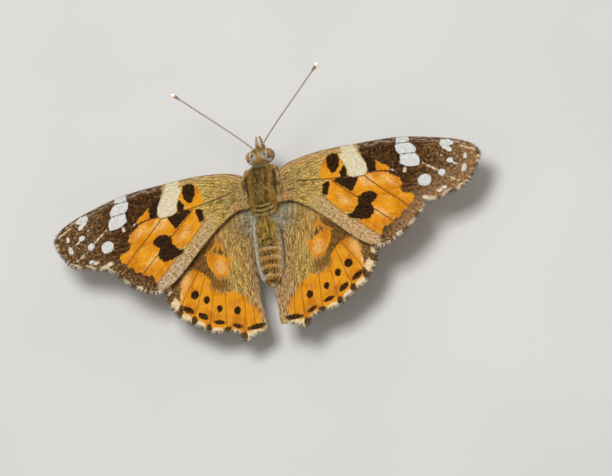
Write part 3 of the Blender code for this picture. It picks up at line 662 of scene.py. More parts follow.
def upper_colours(w):
    """Each marking's colour, the softness of its edge and how ragged that is."""
    rust = tone(w.cloud, "ce7c00", "e4960e", 0.35, 0.60) if w.kind == "fore" else \
        tone(w.cloud, "c87600", "e4940a", 0.35, 0.60)
    rust = mix(ease(w.blotch, 0.50, 0.68, 0, 0.45), rust, "f0b450")
    rust = mix(ease(w.grit, 0.54, 0.64, 0, 0.3), rust, "f2bc80")
    rust = mix(ease(w.thread, 0.44, 0.30, 0, 0.45), rust, "b45a00")
    worn = mix(ease(w.grit, 0.38, 0.62, 0.15, 0.6), rust, "f8d698")
    black = tone(w.mottle, "180a02", "3c260e")
    white = tone(w.mottle, "c6c6c2", "e2e2de")
    if w.kind == "fore":
        dun = tone(w.grit, "846440", "d6b680", 0.38, 0.60)
        dun = mix(ease(w.x * 0.012 + w.blotch, 0.84, 1.10, 0, 0.75), dun, tone(w.grit, "8e705a", "dec6ae"))
        rosy = ease(w.x, 24, 36) * ease(w.blotch, 0.42, 0.58, 0.2, 0.9) * w.wear
        dun = mix(rosy * 0.9, dun, tone(w.grit, "a8743e", "dcb27c"))
        dark = tone(w.mottle, "2c1808", "704a28", 0.43, 0.68)
        dark = mix(ease(w.blotch, 0.54, 0.66) * ease(w.x, 48, 86, 0.2, 0.75), dark, "946c42")
        outer = maths("MAXIMUM", ease(w.x, 64, 84), ease(w.margin, 10, 3))
        dark = mix(outer * 0.7, dark, tone(w.mottle, "4c321a", "8a6840", 0.42, 0.66))
        rubbed = ease(w.margin, 17, 2, 0, 0.75) * ease(w.mottle, 0.36, 0.60, 0.3, 1)
        dark = mix(rubbed * ease(w.x, 46, 62) * w.wear, dark, "a87e54")
        ivory = tone(w.mottle, "cebe96", "e6dcc0")
    else:
        dun = tone(w.grit, "5a3c14", "94692c")
        dark = tone(w.grit, "3e260e", "966c34", 0.39, 0.63)
        ivory = tone(w.mottle, "dcb87c", "f0deb8")
    line = ease(w.vein + w.ragged * 0.3, 0.10, 0.45, 1, 0)
    line = line * 0.8 if w.kind == "fore" else line * ease(w.margin, 24, 19, 0, 0.45)
    rust, worn = mix(line, rust, "54320e"), mix(line, worn, "54320e")
    tips = tone(w.mottle, "2e1a0e", "644426")
    return {"dun": (dun, 2.4, 4), "dark": (dark, 0.8, 4), "orange": (rust, 0.35, 3), "worn": (worn, 1.5, 3),
            "black": (black, 0.3, 2.2 if w.kind == "fore" else 1.5), "ivory": (ivory, 0.3, 1.8), "white": (white, 0.22, 1.2),
            "tips": (tips, 0.3, 1.6)}


def paint_upper(w):
    """The colour of a wing's upper side."""
    colour = hair_colour(w)
    torn = w.ragged + (w.grit - 0.5) * 0.7 + (w.fine - 0.5) * 0.3
    for name, (shown, soft, jag) in upper_colours(w).items():
        colour = mix(ease(layer(name) + torn * jag, -soft, soft), colour, shown)
    colour = mix(ease(w.vein, 0.10, 0.28, 0.25, 0), colour, "6e4e30")
    if w.kind == "fore":
        clear = ease(layer("ivory"), -0.5, 0.3, 1, 0) * ease(layer("white"), -0.5, 0.3, 1, 0)
        near = ease(w.costal + w.ragged * 1.6, 1.6, 3.2, 0.9, 0) * clear
        colour = mix(near, colour, costal_colour(w))
        reach = maths("MAXIMUM", ease(w.margin, 9, 1), ease(w.x, 66, 90, 0, 0.8))
    else:
        reach = ease(w.margin, 11, 1)
    speck = noise(w.fan, (2.2, 0.75, 1), 3, 0.65)
    pale = reach * ease(layer("orange"), -1, 0.5, 1, 0.2) * ease(speck, 0.53, 0.64, 0, 0.75)
    colour = mix(pale, colour, tone(w.fine, "b08a58", "dcc090"))
    between = ease(w.vein, 1.1, 2) * ease(noise(w.chart, 0.7), 0.42, 0.52)
    near = ease(w.margin + w.ragged * 1.6, 1.9, 1.1, 0, 0.8) * ease(layer("tips"), -0.5, 0.5, 1, 0)
    colour = mix(near, colour, mix(between, "583c24", "e0cca4"))
    fringe = mix(between, "684e36", tone(w.shade, "deccac", "f8f0e0"))
    colour = mix(layer("fringe"), colour, fringe)
    return mix(ease(w.fine, 0.34, 0.60, 0.30, 0), colour, "34220e")


def paint_lower(w):
    """The colour of a wing's underside."""
    cream = tone(w.grain, "d6c8a8", "f0e8d2")
    if w.kind == "fore":
        colour = mix(ease(w.reach, 30, 62), tone(w.patch, "d8784c", "e69664"), tone(w.patch, "e29654", "f0ba80"))
        colour = mix(ease(layer("dun"), -2, 2), colour, "d6be96")
        outer = ease(layer("dark"), -1, 1) * ease(layer("orange"), -0.5, 0.5, 1, 0)
        colour = mix(outer, colour, tone(w.grain, "846c4c", "c4ac84"))
        colour = mix(outer * ease(w.vein, 0.9, 0.3), colour, "e2d2b0")
        colour = mix(ease(w.costal, 4, 1), colour, tone(w.grain, "967a56", "d6be96"))
        colour = mix(ease(layer("black") + w.ragged, -0.4, 0.4), colour, "3a281c")
    else:
        marble = noise(w.fan, (0.30, 0.16, 1), 2, 0.55) + w.ragged * 0.06
        colour = mix(ease(marble, 0.50, 0.545), tone(w.grain, "685438", "9c845c"), cream)
        colour = mix(ease(w.margin, 14, 11), colour, tone(w.patch, "b0966c", "ceb88e"))
        colour = mix(ease(w.vein, 0.75, 0.35), colour, "eee4cc")
        chevron = band(w.margin, 4.6, 0.7, 0.3) * ease(w.vein, 0.8, 1.6, 0.15, 1)
        colour = mix(chevron, colour, "76808a")
    for name, shown in (("ivory", "eee0be"), ("white", "f0f0ea")):
        colour = mix(ease(layer(name), -0.4, 0.3), colour, shown)
    for edge, shown in ((1.05, "5c4228"), (0.88, "deb65c"), (0.62, "221b18"), (0.28, "7896b2")):
        colour = mix(ease(layer("ocellus"), edge + 0.06, edge - 0.06), colour, shown)
    colour = mix(band(w.margin, 2.6, 0.9, 0.4), colour, "e8daba")
    colour = mix(band(w.margin, 1.2, 0.3, 0.2), colour, "705434")
    return mix(ease(w.fine, 0.30, 0.70, 0.22, 0), colour, "281c10")


def wing_material(kind):
    """Scales of both faces of a wing, their colours laid by the named layers of its chart."""
    material = begin(kind + "wing scales", Specular_IOR_Level=0.05)
    chart, fan = layer("chart", "Vector"), layer("fan", "Vector")
    w = SimpleNamespace(
        kind=kind, chart=chart, fan=fan, x=parts(chart)[0], y=parts(chart)[1], reach=parts(fan)[1],
        vein=layer("vein"), margin=layer("margin"), costal=layer("costal"), shade=layer("shade"),
        wear=layer("wear"), streak=noise(fan, (1.2, 0.16, 1), 3, 0.6), thread=noise(fan, (2.8, 0.38, 1), 2, 0.6),
        blotch=noise(fan, (1.3, 0.16, 1), 3, 0.6), grit=noise(fan, (1.9, 0.7, 1), 4, 0.7),
        ragged=noise(fan, (0.8, 0.5, 1), 5, 0.65) - 0.5, cloud=noise(chart, 0.13), grain=noise(chart, 0.9, 3),
        mottle=noise(chart, 0.75, 4, 0.65), patch=noise(chart, 0.3, 3, 0.6), fine=noise(chart, 3.6, 2, 0.6))
    colour = mix(layer("face"), paint_lower(w), paint_upper(w))
    colour = mix(ease(w.shade, 0.5, 1, 0, 0.4), colour, "fcecc4")
    colour = mix(ease(w.shade, 0.5, 0, 0, 0.25), colour, "3c2a12")
    height = cells(fan, (3.2, 1.6, 1), 0.7) * 0.5 + w.thread + w.fine * 0.6
    finish(colour, ease(w.fine, 0.3, 0.7, 0.62, 0.82), height, 0.00004)
    return material


# Body materials


def head_colour(b):
    """Ochre hair, with a slate spot ringed in white at each feeler's root."""
    colour = tone(b.along, "bc8034", "f6ca7e", 0.40, 0.60)
    colour = mix(ease(b.grain, 0.55, 0.64, 0, 0.6), colour, "f8e6bc")
    colour = mix(ease(b.grain, 0.44, 0.36, 0, 0.5), colour, "6e4014")
    colour = mix(spot(b.side, b.y, (0.1, -6.1), (0.45, 0.35)) * 0.7, colour, "f4dc98")
    ring = spot(b.side, b.y, (0.90, -5.98), (0.52, 0.44)) * ease(b.grain, 0.34, 0.46, 0.5, 1)
    colour = mix(ring, colour, "fcf4e4")
    colour = mix(spot(b.side, b.y, (1.75, -5.2), (0.24, 0.22)), colour, "eee2ca")
    colour = mix(band(b.y, -5.1, 0.22, 0.16) * ease(b.side, 1.3, 1.1), colour, "b2741e")
    colour = mix(spot(b.side, b.y, (0.95, -6.02), (0.20, 0.24)), colour, "46626e")
    return mix(spot(b.side, b.y, (1.5, -5.5), (0.20, 0.14)), colour, "3a2a1a")


def thorax_colour(b):
    """Golden hair with a bright ridge to each side, a worn dark middle and pale creases behind, with painted shade in
    the gap under each shoulder flap and painted shadow in the cleft beside the right shoulder.
    """
    colour = tone(b.along, "785c1e", "c69c46", 0.38, 0.62)
    worn = ease(b.patch, 0.46, 0.60) * ease(b.side, 1.3, 0.9, 0.2, 0.8)
    colour = mix(worn, colour, "5c4c22")
    colour = mix(band(b.side, 1.38, 0.25, 0.15) * 0.7, colour, "d49c3e")
    # Painted shade: a dark band along each side of the thorax, in the gap under the shoulder flap
    shoulder_gap_shade = band(b.side, 2.02, 0.20, 0.12) * band(b.y, -1.8, 1.5, 0.4)
    colour = mix(shoulder_gap_shade * 0.85, colour, "32261a")
    bowed = b.y + b.x * b.x * 0.24
    crease = maths("SINE", bowed * 11)
    rear = ease(b.y, 1.2, 1.8) * ease(b.side, 1.7, 1.3)
    colour = mix(rear * ease(crease, 0.1, 0.7, 0, 0.9), colour, "dcb870")
    colour = mix(rear * ease(crease, -0.1, -0.7, 0, 0.8), colour, "403010")
    collar = band(b.y, -4.50, 0.25, 0.12) * ease(b.grain, 0.40, 0.56, 0.35, 0.9)
    colour = mix(collar, colour, tone(b.along, "948a66", "d2c2a0"))
    # Painted shadow: the cleft beside the right shoulder, near black
    return mix(spot(b.x, b.y, CLEFT_MIDDLE, CLEFT_HALF_SIZE), colour, "0e0904")


def abdomen_colour(b):
    """Olive gold in front, then rings edged in pale orange with dark flecks between."""
    colour = tone(b.along, "84641e", "cca84e", 0.38, 0.62)
    behind = ease(b.y, 7.1, 7.8)
    colour = mix(behind * 0.75, colour, "dea44c")
    flecks = band(b.ring, 0.50, 0.30, 0.10) * ease(b.grain, 0.46, 0.51) * ease(b.y, 6.6, 7.2)
    colour = mix(flecks * ease(b.side, 1.5, 1.1), colour, "1a1008")
    front = spot(b.x, b.y, (-0.25, 7), (0.8, 0.2)) * ease(b.grain, 0.40, 0.46)
    colour = mix(front, colour, "140c06")
    colour = mix(spot(b.x, b.y, (0.1, 12), (0.4, 0.25)) * 0.7, colour, "f09a46")
    return mix(ease(b.ring, 0.80, 0.86) * behind, colour, tone(b.patch, "f2ac54", "fae8bc"))


def body_material():
    """Hair and scales of head, thorax and abdomen, painted by their place on the body in millimetres."""
    material = begin("body hair", Specular_IOR_Level=0.06)
    place = layer("place", "Vector")
    x, y, _ = parts(place)
    b = SimpleNamespace(x=x, y=y, side=maths("ABSOLUTE", x), ring=layer("ring"),
                        along=noise(place, (3, 0.7, 3), 3, 0.6), patch=noise(place, (1.1, 0.8, 1.1)),
                        grain=noise(place, (9, 5, 9)))
    colour = mix(ease(y, -4.95, -4.6), head_colour(b), thorax_colour(b))
    colour = mix(ease(y, 3.25, 3.6), colour, abdomen_colour(b))
    colour = mix(band(y, 3.5, 0.6, 0.3) * ease(b.side, 0.6, 1.4, 0, 0.85), colour, "b0b09e")
    belly = ease(layer("under") + (b.grain - 0.5) * 0.5, 0.05, 0.40)
    colour = mix(belly, colour, tone(b.patch, "cec4a8", "eee8d6"))
    colour = mix(layer("rim"), colour, tone(b.grain, "e8e0ce", "fefcf6"))
    colour = mix(layer("shoulder"), colour, tone(b.along, "94682a", "f2ce8e", 0.42, 0.58))
    shade = layer("shade")
    colour = mix(ease(shade, 0.5, 1, 0, 0.35), colour, "fae0a4")
    colour = mix(ease(shade, 0.5, 0, 0, 0.40), colour, "38260c")
    # Painted shade: each tuft darkens toward its root, and the skin under the coat as much, for the depth of the coat
    colour = mix(ease(layer("tip"), 0, 0.6, 0.30, 0), colour, "32220c")
    finish(colour, ease(b.grain, 0.3, 0.7, 0.6, 0.85), b.grain, 0.00003)
    return material


def eye_material():
    """A compound eye: golden brown, clouded darker, under small facets, and paled toward its outline by a painted
    sheen.
    """
    material = begin("eye", Coat_Weight=0.4, Coat_Roughness=0.15)
    place = layer("place", "Vector")
    facets = cells(place, (34, 34, 34), 0.25)
    cloud = noise(place, (1.3, 0.9, 1.8), 3)
    colour = tone(cloud, "5a3c1a", "b08446", 0.38, 0.60)
    colour = mix(ease(facets, 0.35, 0.6, 0, 0.4), colour, "2c1c10")
    # Painted sheen: the eye pales where it turns away from the view
    sheen_facing = Field("LayerWeight", {"Blend": 0.4}, "Facing")
    colour = mix(ease(sheen_facing, 0.55, 0.9, 0, 0.65), colour, "d2ba8e")
    finish(colour, ease(cloud, 0.3, 0.7, 0.3, 0.45), facets, 0.00001)
    return material


def tube_fields():
    """The share of the way along a tube, its shade, and a grain over it."""
    place = layer("place", "Vector")
    return place, layer("along"), layer("shade"), noise(place, 6, 3)


def antenna_material():
    """A feeler of fine pale-edged joints, with a dark club tipped in white."""
    material = begin("antenna", Specular_IOR_Level=0.35)
    _, along, _, grain = tube_fields()
    joint = maths("FRACT", along * ANTENNA_JOINTS)
    colour = tone(grain, "6c5a46", "9c886e")
    colour = mix(ease(joint, 0.55, 0.70, 0, 0.6), colour, "d4c6ac")
    colour = mix(ease(along, 0.86, 0.90), colour, tone(grain, "76584e", "a08476"))
    colour = mix(ease(along, 0.924, 0.930), colour, "ce7e3e")
    colour = mix(ease(along, 0.938, 0.944), colour, "faf6ec")
    finish(colour, ease(grain, 0.3, 0.7, 0.5, 0.7), joint, 0.00001)
    return material


def palp_material():
    """Scales of the palps: white on top and between, brown and ochre outside."""
    material = begin("palp scales", Specular_IOR_Level=0.1)
    place, _, shade, grain = tube_fields()
    x, y, z = parts(place)
    side = maths("ABSOLUTE", x) - (y + 8.2) * 0.2 + (grain - 0.5) * 0.3
    colour = mix(ease(side, 0.32, 0.40), tone(grain, "e8decc", "fcf8f0"), tone(grain, "8a6448", "c8a080"))
    root = ease(y + grain * 0.8, -7.9, -7.3) * ease(z, -1.4, -0.9)
    colour = mix(root, colour, tone(grain, "a8661e", "d89a4a"))
    finish(mix(ease(shade, 0.4, 0, 0, 0.6), colour, "402818"), ease(grain, 0.3, 0.7, 0.6, 0.8), grain, 0.00002)
    return material


def tongue_material():
    """The tongue, glossy brown with fine cross rings."""
    material = begin("proboscis", Coat_Weight=0.3, Coat_Roughness=0.2)
    _, along, _, grain = tube_fields()
    ring = maths("FRACT", along * 90)
    colour = mix(ease(ring, 0.6, 0.9, 0, 0.5), tone(grain, "6a401e", "96602e"), "38200e")
    finish(colour, ease(grain, 0.3, 0.7, 0.3, 0.5), ring, 0.00001)
    return material


def leg_material():
    """Pale scaly thighs that pass into ochre shins and banded feet."""
    material = begin("leg scales", Specular_IOR_Level=0.2)
    _, along, shade, grain = tube_fields()
    colour = mix(ease(along, 1.7, 2.2), tone(grain, "c4b292", "ece2cc"), tone(grain, "8e683e", "c49c68"))
    joint = maths("FRACT", along * FOOT_JOINTS)
    colour = mix(ease(joint, 0.62, 0.8) * ease(along, 2.9, 3.05), colour, "46301c")
    colour = mix(ease(shade, 0.35, 0, 0, 0.5), colour, "4a3622")
    finish(colour, ease(grain, 0.3, 0.7, 0.5, 0.75), grain, 0.00002)
    return material


# Wings


def folded(chart):
    """How far each point of a hindwing takes part in the fold beside the abdomen, from 0 to 1."""
    x, y = chart.T
    inward = fade(x, FOLD_START, FOLD_START - FOLD_WIDTH)
    return inward ** 1.5 * fade(y, FOLD_SPAN[0], FOLD_SPAN[0] + FOLD_FADE) * fade(y, FOLD_SPAN[1], FOLD_SPAN[1] - FOLD_FADE)


def vein_distance(kind, chart):
    return np.min([distances(chart, smooth_path(line, 1.4)) for line in VEINS[kind].values()], axis=0)


def wing_points(kind, side, chart, face=0):
    """Chart points of a wing in the body's frame: on its upper face at 1, its lower at -1."""
    values, hinge = SIDES[side], HINGES[kind]
    sweep = math.radians(values["sweep"]) if kind == "fore" else 0
    out, back = chart.T * UNIT
    x = out * math.cos(sweep) - back * math.sin(sweep) + hinge[0]
    y = out * math.sin(sweep) + back * math.cos(sweep) + hinge[1]
    z = hinge[2] + math.tan(math.radians(values["dihedral"])) * x + math.tan(math.radians(values["pitch"])) * y
    z += CAMBER * np.sin(math.pi * x / CAMBER_SPAN)
    if kind == "hind":
        z -= values["fold"] * folded(chart)
    vein = vein_distance(kind, chart)
    z -= PLEAT_DEPTH * (1 - np.exp(-vein / PLEAT_REACH))
    outline = OUTLINES[kind, side][0]
    edge = distances(chart, np.concatenate([outline, outline[:1]]))
    half = (EDGE_THICKNESS + (SKIN_THICKNESS - EDGE_THICKNESS) * fade(edge, 0, EDGE_TAPER)) / 2
    half += VEIN_RELIEF * np.exp(-(vein / VEIN_REACH) ** 2)
    return np.stack([values["sign"] * x, y, z + face * half], axis=1)


def wing_outline(kind, side):
    """The membrane's edge, drawn in where the fringe stands, with the way out and the margin's share."""
    if kind == "fore":
        margin = FORE_MARGIN[:1] + TEAR_RIGHT + FORE_MARGIN[2:] if side == "right" else FORE_MARGIN
        whole = FORE_ROOT + FORE_COSTA + FORE_APEX + margin + FORE_TORNUS
    else:
        whole = HIND_ROOT + HIND_COSTA + HIND_APEX + HIND_MARGIN + HIND_LOBE + HIND_INNER[side]
    outline = smooth_path(whole, 0.7, closed=True)
    ahead = unit(np.roll(outline, -2, axis=0) - np.roll(outline, 2, axis=0))
    outward = np.stack([ahead[:, 1], -ahead[:, 0]], axis=1)
    near = fade(distances(outline, margin_line(kind)), 3, 0)
    return outline - outward * FRINGE_INSET * near[:, None], outward, near


def margin_line(kind):
    """The outer and hind margin that carries the fringe."""
    line = FORE_APEX + FORE_MARGIN + FORE_TORNUS[:1] if kind == "fore" else HIND_APEX + HIND_MARGIN + HIND_LOBE
    return smooth_path(line, 1.4)


def costa_distance(kind, chart):
    return distances(chart, smooth_path(FORE_COSTA if kind == "fore" else HIND_COSTA, 1.4))


def vein_slant(x):
    """How far a hindwing's scales slant outward at each x, as its veins do."""
    return VEIN_SLANT[0] + VEIN_SLANT[1] * x ** 2


def fan_place(kind, chart):
    """Places across and along the way that a wing's scales lie."""
    x, y = chart.T
    reach = np.hypot(x + 8, y + 4)
    if kind == "fore":
        return np.stack([np.arctan2(y + 4, x + 8) * 30, reach, 0 * x], axis=1)
    across, steps = x, 12
    for _ in range(steps):
        across = across + vein_slant(across) * (VEIN_LEVEL - y) / steps
    return np.stack([across * 1.2, reach, 0 * x], axis=1)


def wing_layers(kind, side, chart, face, fringe=0):
    """What the wing's material reads at each chart point."""
    layers = {"face": face, "fringe": fringe, "wear": SIDES[side]["wear"], "vein": vein_distance(kind, chart),
              "margin": distances(chart, margin_line(kind)), "costal": costa_distance(kind, chart),
              "chart": np.column_stack([chart, np.zeros(len(chart))]), "fan": fan_place(kind, chart)}
    for name in PAINTED:
        depths = [signed_depth(chart, outline) for outline in MARKINGS[kind].get(name, {}).values()]
        depths += [oval_depth(chart, oval) for oval in SPOTS[kind].get(name, [])]
        layers[name] = np.max(depths + [np.full(len(chart), FAR_OUTSIDE)], axis=0)
    layers["ocellus"] = np.min([np.hypot(*(chart - eye[:2]).T) / eye[2] for eye in OCELLI[kind]], axis=0)
    return layers


def wing_unwrap(chart, face):
    """Where chart points lie on the unwrap: the upper face above, the lower face below."""
    x, y = ((chart - (-8, -20)) / 114).T
    return np.stack([0.02 + x * 0.9, y * 0.62 + (0.51 if face > 0 else 0.02)], axis=1)


def tree_of(points):
    tree = KDTree(len(points))
    for i, (x, y) in enumerate(points):
        tree.insert((x, y, 0), i)
    tree.balance()
    return tree


def membrane(outline, veins):
    """The outline's points, points along and beside the veins, and a grid between, as triangles."""
    edge_tree = tree_of(outline)

    def clear(points, gap, tree=edge_tree):
        points = points[inside(points, outline)]
        return np.array([point for point in points if tree.find((*point, 0))[2] > gap])

    on_veins = []
    for point in clear(np.concatenate(veins), 0.35):
        if all(np.hypot(*(point - other)) > 0.25 for other in on_veins[-60:]):
            on_veins.append(point)
    vein_tree = tree_of(on_veins)
    found = [outline, np.array(on_veins)]
    for line in veins:
        along = unit(np.gradient(line, axis=0))
        normal = np.stack([-along[:, 1], along[:, 0]], axis=1) * VEIN_REACH
        for beside in (line + normal, line - normal):
            found.append(clear(clear(beside, 0.35), VEIN_REACH * 0.8, vein_tree))
    low, high = outline.min(axis=0), outline.max(axis=0)
    rows = np.arange(low[1], high[1], GRID_STEP * math.sqrt(3) / 2)
    columns = np.arange(low[0], high[0], GRID_STEP)
    grid = np.array([(x + (i % 2) * GRID_STEP / 2, y) for i, y in enumerate(rows) for x in columns])
    taken = np.concatenate([points for points in found if len(points)])
    points = np.concatenate([taken, clear(clear(grid, 0.35), GRID_STEP / 2, tree_of(taken))])
    rim = [(i, (i + 1) % len(outline)) for i in range(len(outline))]
    flat, _, triangles, _, _, _ = delaunay_2d_cdt([Vector(point) for point in points], rim, [], 1, 1e-7)
    return np.array([point[:] for point in flat]), np.array(triangles)


def add_wing_skin(kind, side, material):
    """Both faces of a wing's membrane and the rim between them."""
    chart, triangles = membrane(OUTLINES[kind, side][0], [smooth_path(line, 0.7) for line in VEINS[kind].values()])
    a, b, c = chart[triangles].transpose(1, 0, 2)
    turned = (b[:, 0] - a[:, 0]) * (c[:, 1] - a[:, 1]) - (b[:, 1] - a[:, 1]) * (c[:, 0] - a[:, 0])
    upward = SIDES[side]["sign"] * turned > 0
    triangles = np.where(upward[:, None], triangles, triangles[:, ::-1])
    shape = Shape()
    for face, order in ((1, triangles), (-1, triangles[:, ::-1])):
        places = wing_unwrap(chart, face)
        shape.add(wing_points(kind, side, chart, face), order, places[order], shade=0.5,
                  **wing_layers(kind, side, chart, max(face, 0)))
    edges = np.concatenate([triangles[:, [0, 1]], triangles[:, [1, 2]], triangles[:, [2, 0]]])
    _, index, uses = np.unique(np.sort(edges, axis=1), axis=0, return_inverse=True, return_counts=True)
    a, b = edges[uses[index.ravel()] == 1].T
    count = len(chart)
    rim = np.concatenate([np.stack([b, a, a + count], 1), np.stack([b, a + count, b + count], 1)])
    places = wing_unwrap(chart, 1)
    shape.triangles.append(rim)
    shape.unwrap.append(np.concatenate([places, places + 0.001])[rim].reshape(-1, 2))
    name = f"{kind}wing_{side}"
    shape.build(name + "_scales", material, kind + "wing_scales", name)


def wing_normals(kind, side, chart, face):
    """Directions out of a wing's face."""
    ahead, beside = (wing_points(kind, side, chart + step) - wing_points(kind, side, chart - step)
                     for step in np.eye(2) * 0.4)
    normal = unit(np.cross(ahead, beside))
    return normal * np.sign(normal[:, 2:]) * face


def add_wing_tufts(shape, kind, side, chart, flat, face, length, width, rise, curl, random, fringe=0):
    """Adds tufts at chart points, which lie along flat directions on the chart."""
    lies = wing_points(kind, side, chart + flat * 0.5) - wing_points(kind, side, chart - flat * 0.5)
    add_tufts(shape, wing_points(kind, side, chart, face), lies, wing_normals(kind, side, chart, face or 1),
              length, width, rise, curl, wing_unwrap(chart, face or 1), random,
              **wing_layers(kind, side, chart, 1 if fringe else max(face, 0), fringe))


def add_wing_hair(kind, side, material, random):
    """Long scales and hair that lie over the wing's inner part, thinner outward."""
    outline = OUTLINES[kind, side][0]
    low, high = outline.min(axis=0), outline.max(axis=0)
    shape = Shape()
    for face, spacing in ((1, 0.42), (-1, 0.9)):
        count = int(np.prod(high - low) / spacing ** 2)
        chart = low + random.random((count, 2)) * (high - low)
        x, y = chart.T
        if kind == "fore":
            chance = fade(np.hypot(x + 2, y + 2), 24, 10)
        else:
            chance = np.maximum(fade(x, 9, 3) * fade(y, 44, 24) * 0.7, fade(np.hypot(x, y), 20, 8))
        chance *= fade(costa_distance(kind, chart), 2.5, 5.5)
        chart = chart[(random.random(count) < chance) & inside(chart, outline)]
        flat = unit(chart + (6, 4))
        if kind == "hind":
            along = np.stack([vein_slant(chart[:, 0]), np.ones(len(chart))], axis=1)
            flat = unit(flat + along * 2 * fade(chart[:, 1], 2, 14)[:, None])
        flat = flat + random.standard_normal(flat.shape) * 0.12
        lengths = 0.34 + 0.32 * random.random(len(chart))
        add_wing_tufts(shape, kind, side, chart, flat, face, lengths, 0.036, 0.10, 0.20, random)
    shape.build(f"{kind}wing_{side}_hair", material, kind + "wing_scales")


def add_fringe(kind, side, material, random):
    """Fine scales that stand out from the wing's outer edge, longer on the margin than elsewhere."""
    path, out, near = (np.concatenate([values, values[:1]]) for values in OUTLINES[kind, side])
    length = np.append(0, np.cumsum(np.hypot(*np.diff(path, axis=0).T)))
    shape = Shape()
    step = 0.20
    for level in (0.5, 0, -0.5):
        at = np.arange(0, length[-1], step)
        at = at + random.random(len(at)) * step
        places, outward = (np.stack([np.interp(at, length, values[:, i]) for i in (0, 1)], axis=1)
                           for values in (path, out))
        kept = places[:, 0] > 1
        if kind == "fore" and side == "right":
            kept &= np.hypot(*(places - TEAR_RIGHT[1]).T) > 8
        places, outward = places[kept], unit(outward[kept])
        margin = np.interp(at, length, near)[kept]
        flat = outward + random.standard_normal(places.shape) * 0.14
        add_wing_tufts(shape, kind, side, places - outward * 0.35, flat, level, 0.17 + 0.33 * margin, 0.065,
                       0, 0.1, random, fringe=0.85)
    shape.build(f"{kind}wing_{side}_fringe", material, kind + "wing_scales")


# Body


def body_section(y):
    """Middle height, half width and half height of the skin at each y."""
    return [np.interp(y, SMOOTH_SECTIONS[:, 0], SMOOTH_SECTIONS[:, i]) for i in (1, 2, 3)]


def ring_share(y):
    """Where each y lies within its abdominal ring, from 0 to 1, or -1 before the abdomen."""
    share = (y - ABDOMEN_FRONT) / ABDOMEN_LENGTH * ABDOMEN_RINGS
    return np.where(share > 0, share % 1, -1)


def body_points(y, turn):
    """The skin at y and at a turn from the top of the back toward the left side."""
    middle, width, height = body_section(y)
    wrapped = np.abs((turn + math.pi) % (2 * math.pi) - math.pi)
    out = SHOULDER_SWELL * np.exp(-((y - SHOULDER_Y) / 1.3) ** 4 - ((wrapped - SHOULDER_TURN) / 0.28) ** 4)
    out -= 0.20 * np.exp(-((y + 2) / 1.6) ** 4 - ((wrapped - 0.84) / 0.09) ** 2)
    share = ring_share(y)
    out += np.where(share >= 0, RING_RELIEF * (share - 0.5) * fade(share, 1, 0.88), 0)
    out += 0.06 * np.sin(fade(y, 1.2, 2.6) * 4 * math.pi) * np.clip(1 - wrapped, 0, 1)
    bend = ABDOMEN_SIDE_BEND * fade(y, ABDOMEN_FRONT, ABDOMEN_FRONT + ABDOMEN_LENGTH)
    return np.stack([bend + (width + out) * np.sin(turn), y, middle + (height + out) * np.cos(turn)], axis=-1)


def body_layers(points, turn, rim=0, shoulder=0):
    return {"place": points, "ring": ring_share(points[:, 1]), "under": -np.cos(turn), "rim": rim,
            "shoulder": shoulder}


def body_unwrap(y, turn):
    low, high = SKIN_SECTIONS[0][0], SKIN_SECTIONS[-1][0]
    return 0.03 + 0.94 * np.stack([turn % (2 * math.pi) / (2 * math.pi), (y - low) / (high - low)], axis=-1)


def body_frame(y, turn):
    """Points on the skin, the directions out of it, and the directions backward along it."""
    points = body_points(y, turn)
    back = unit(body_points(y + 0.05, turn) - body_points(y - 0.05, turn))
    normals = unit(np.cross(back, body_points(y, turn + 0.02) - body_points(y, turn - 0.02)))
    middle = np.stack([np.zeros(len(y)), y, body_section(y)[0]], axis=1)
    return points, normals * np.sign(np.sum(normals * (points - middle), axis=1, keepdims=True)), back


def add_body_skin(material):
    """One skin over head, thorax and abdomen."""
    y = np.linspace(SKIN_SECTIONS[0][0], SKIN_SECTIONS[-1][0], BODY_ROWS)
    turns = 2 * math.pi * np.arange(BODY_SIDES) / BODY_SIDES
    grid_y, grid_turn = np.meshgrid(y, turns, indexing="ij")
    points, triangles, unwrap, _ = loft(body_points(grid_y, grid_turn))
    shape = Shape()
    shape.add(points, triangles, unwrap, shade=0.5, tip=0, **body_layers(points, np.append(grid_turn, [0, 0])))
    shape.build("body_skin", material, "thorax_hair", "head", "thorax", "abdomen")


def scatter_body(low, high, spacing, random):
    """Evenly spread places on the skin between two y."""
    y = np.linspace(low, high, 200)
    _, width, height = body_section(y)
    around = 2 * math.pi * np.sqrt((width ** 2 + height ** 2) / 2)
    area = np.append(0, np.cumsum((around[1:] + around[:-1]) / 2 * np.diff(y)))
    count = int(area[-1] / spacing ** 2)
    return np.interp(random.random(count) * area[-1], area, y), random.random(count) * 2 * math.pi


def bare(points):
    """Which points lie on an eye or in the cleft beside the right shoulder, which is painted dark as shadow."""
    away = [np.linalg.norm((points - mirrored(EYE_MIDDLE, sign)) / (np.array(EYE_HALF_SIZE) + 0.03), axis=1)
            for sign in (1, -1)]
    in_cleft = np.hypot(*((points[:, :2] - CLEFT_MIDDLE) / CLEFT_HALF_SIZE).T) < 0.9
    return (np.min(away, axis=0) < 1) | (in_cleft & (points[:, 2] > -1))


def mirrored(points, sign):
    return np.array(points) * (sign, 1, 1)


def add_body_coat(name, material, low, high, spacing, length, width, rise, curl, random):
    """Tufts that lie backward over a stretch of the body, shorter over the thorax's rear creases."""
    y, turn = scatter_body(low, high, spacing, random)
    points, normals, back = body_frame(y, turn)
    kept = ~bare(points)
    y, turn, points, normals, back = y[kept], turn[kept], points[kept], normals[kept], back[kept]
    lies = back + np.cross(normals, back) * random.standard_normal((len(y), 1)) * 0.22
    length = length * (1 - 0.65 * fade(y, 0.6, 1.4) * (y < THORAX_REAR))
    shape = Shape()
    add_tufts(shape, points, lies, normals, length, width, rise, curl, body_unwrap(y, turn), random,
              **body_layers(points, turn))
    shape.build(name, material, name)


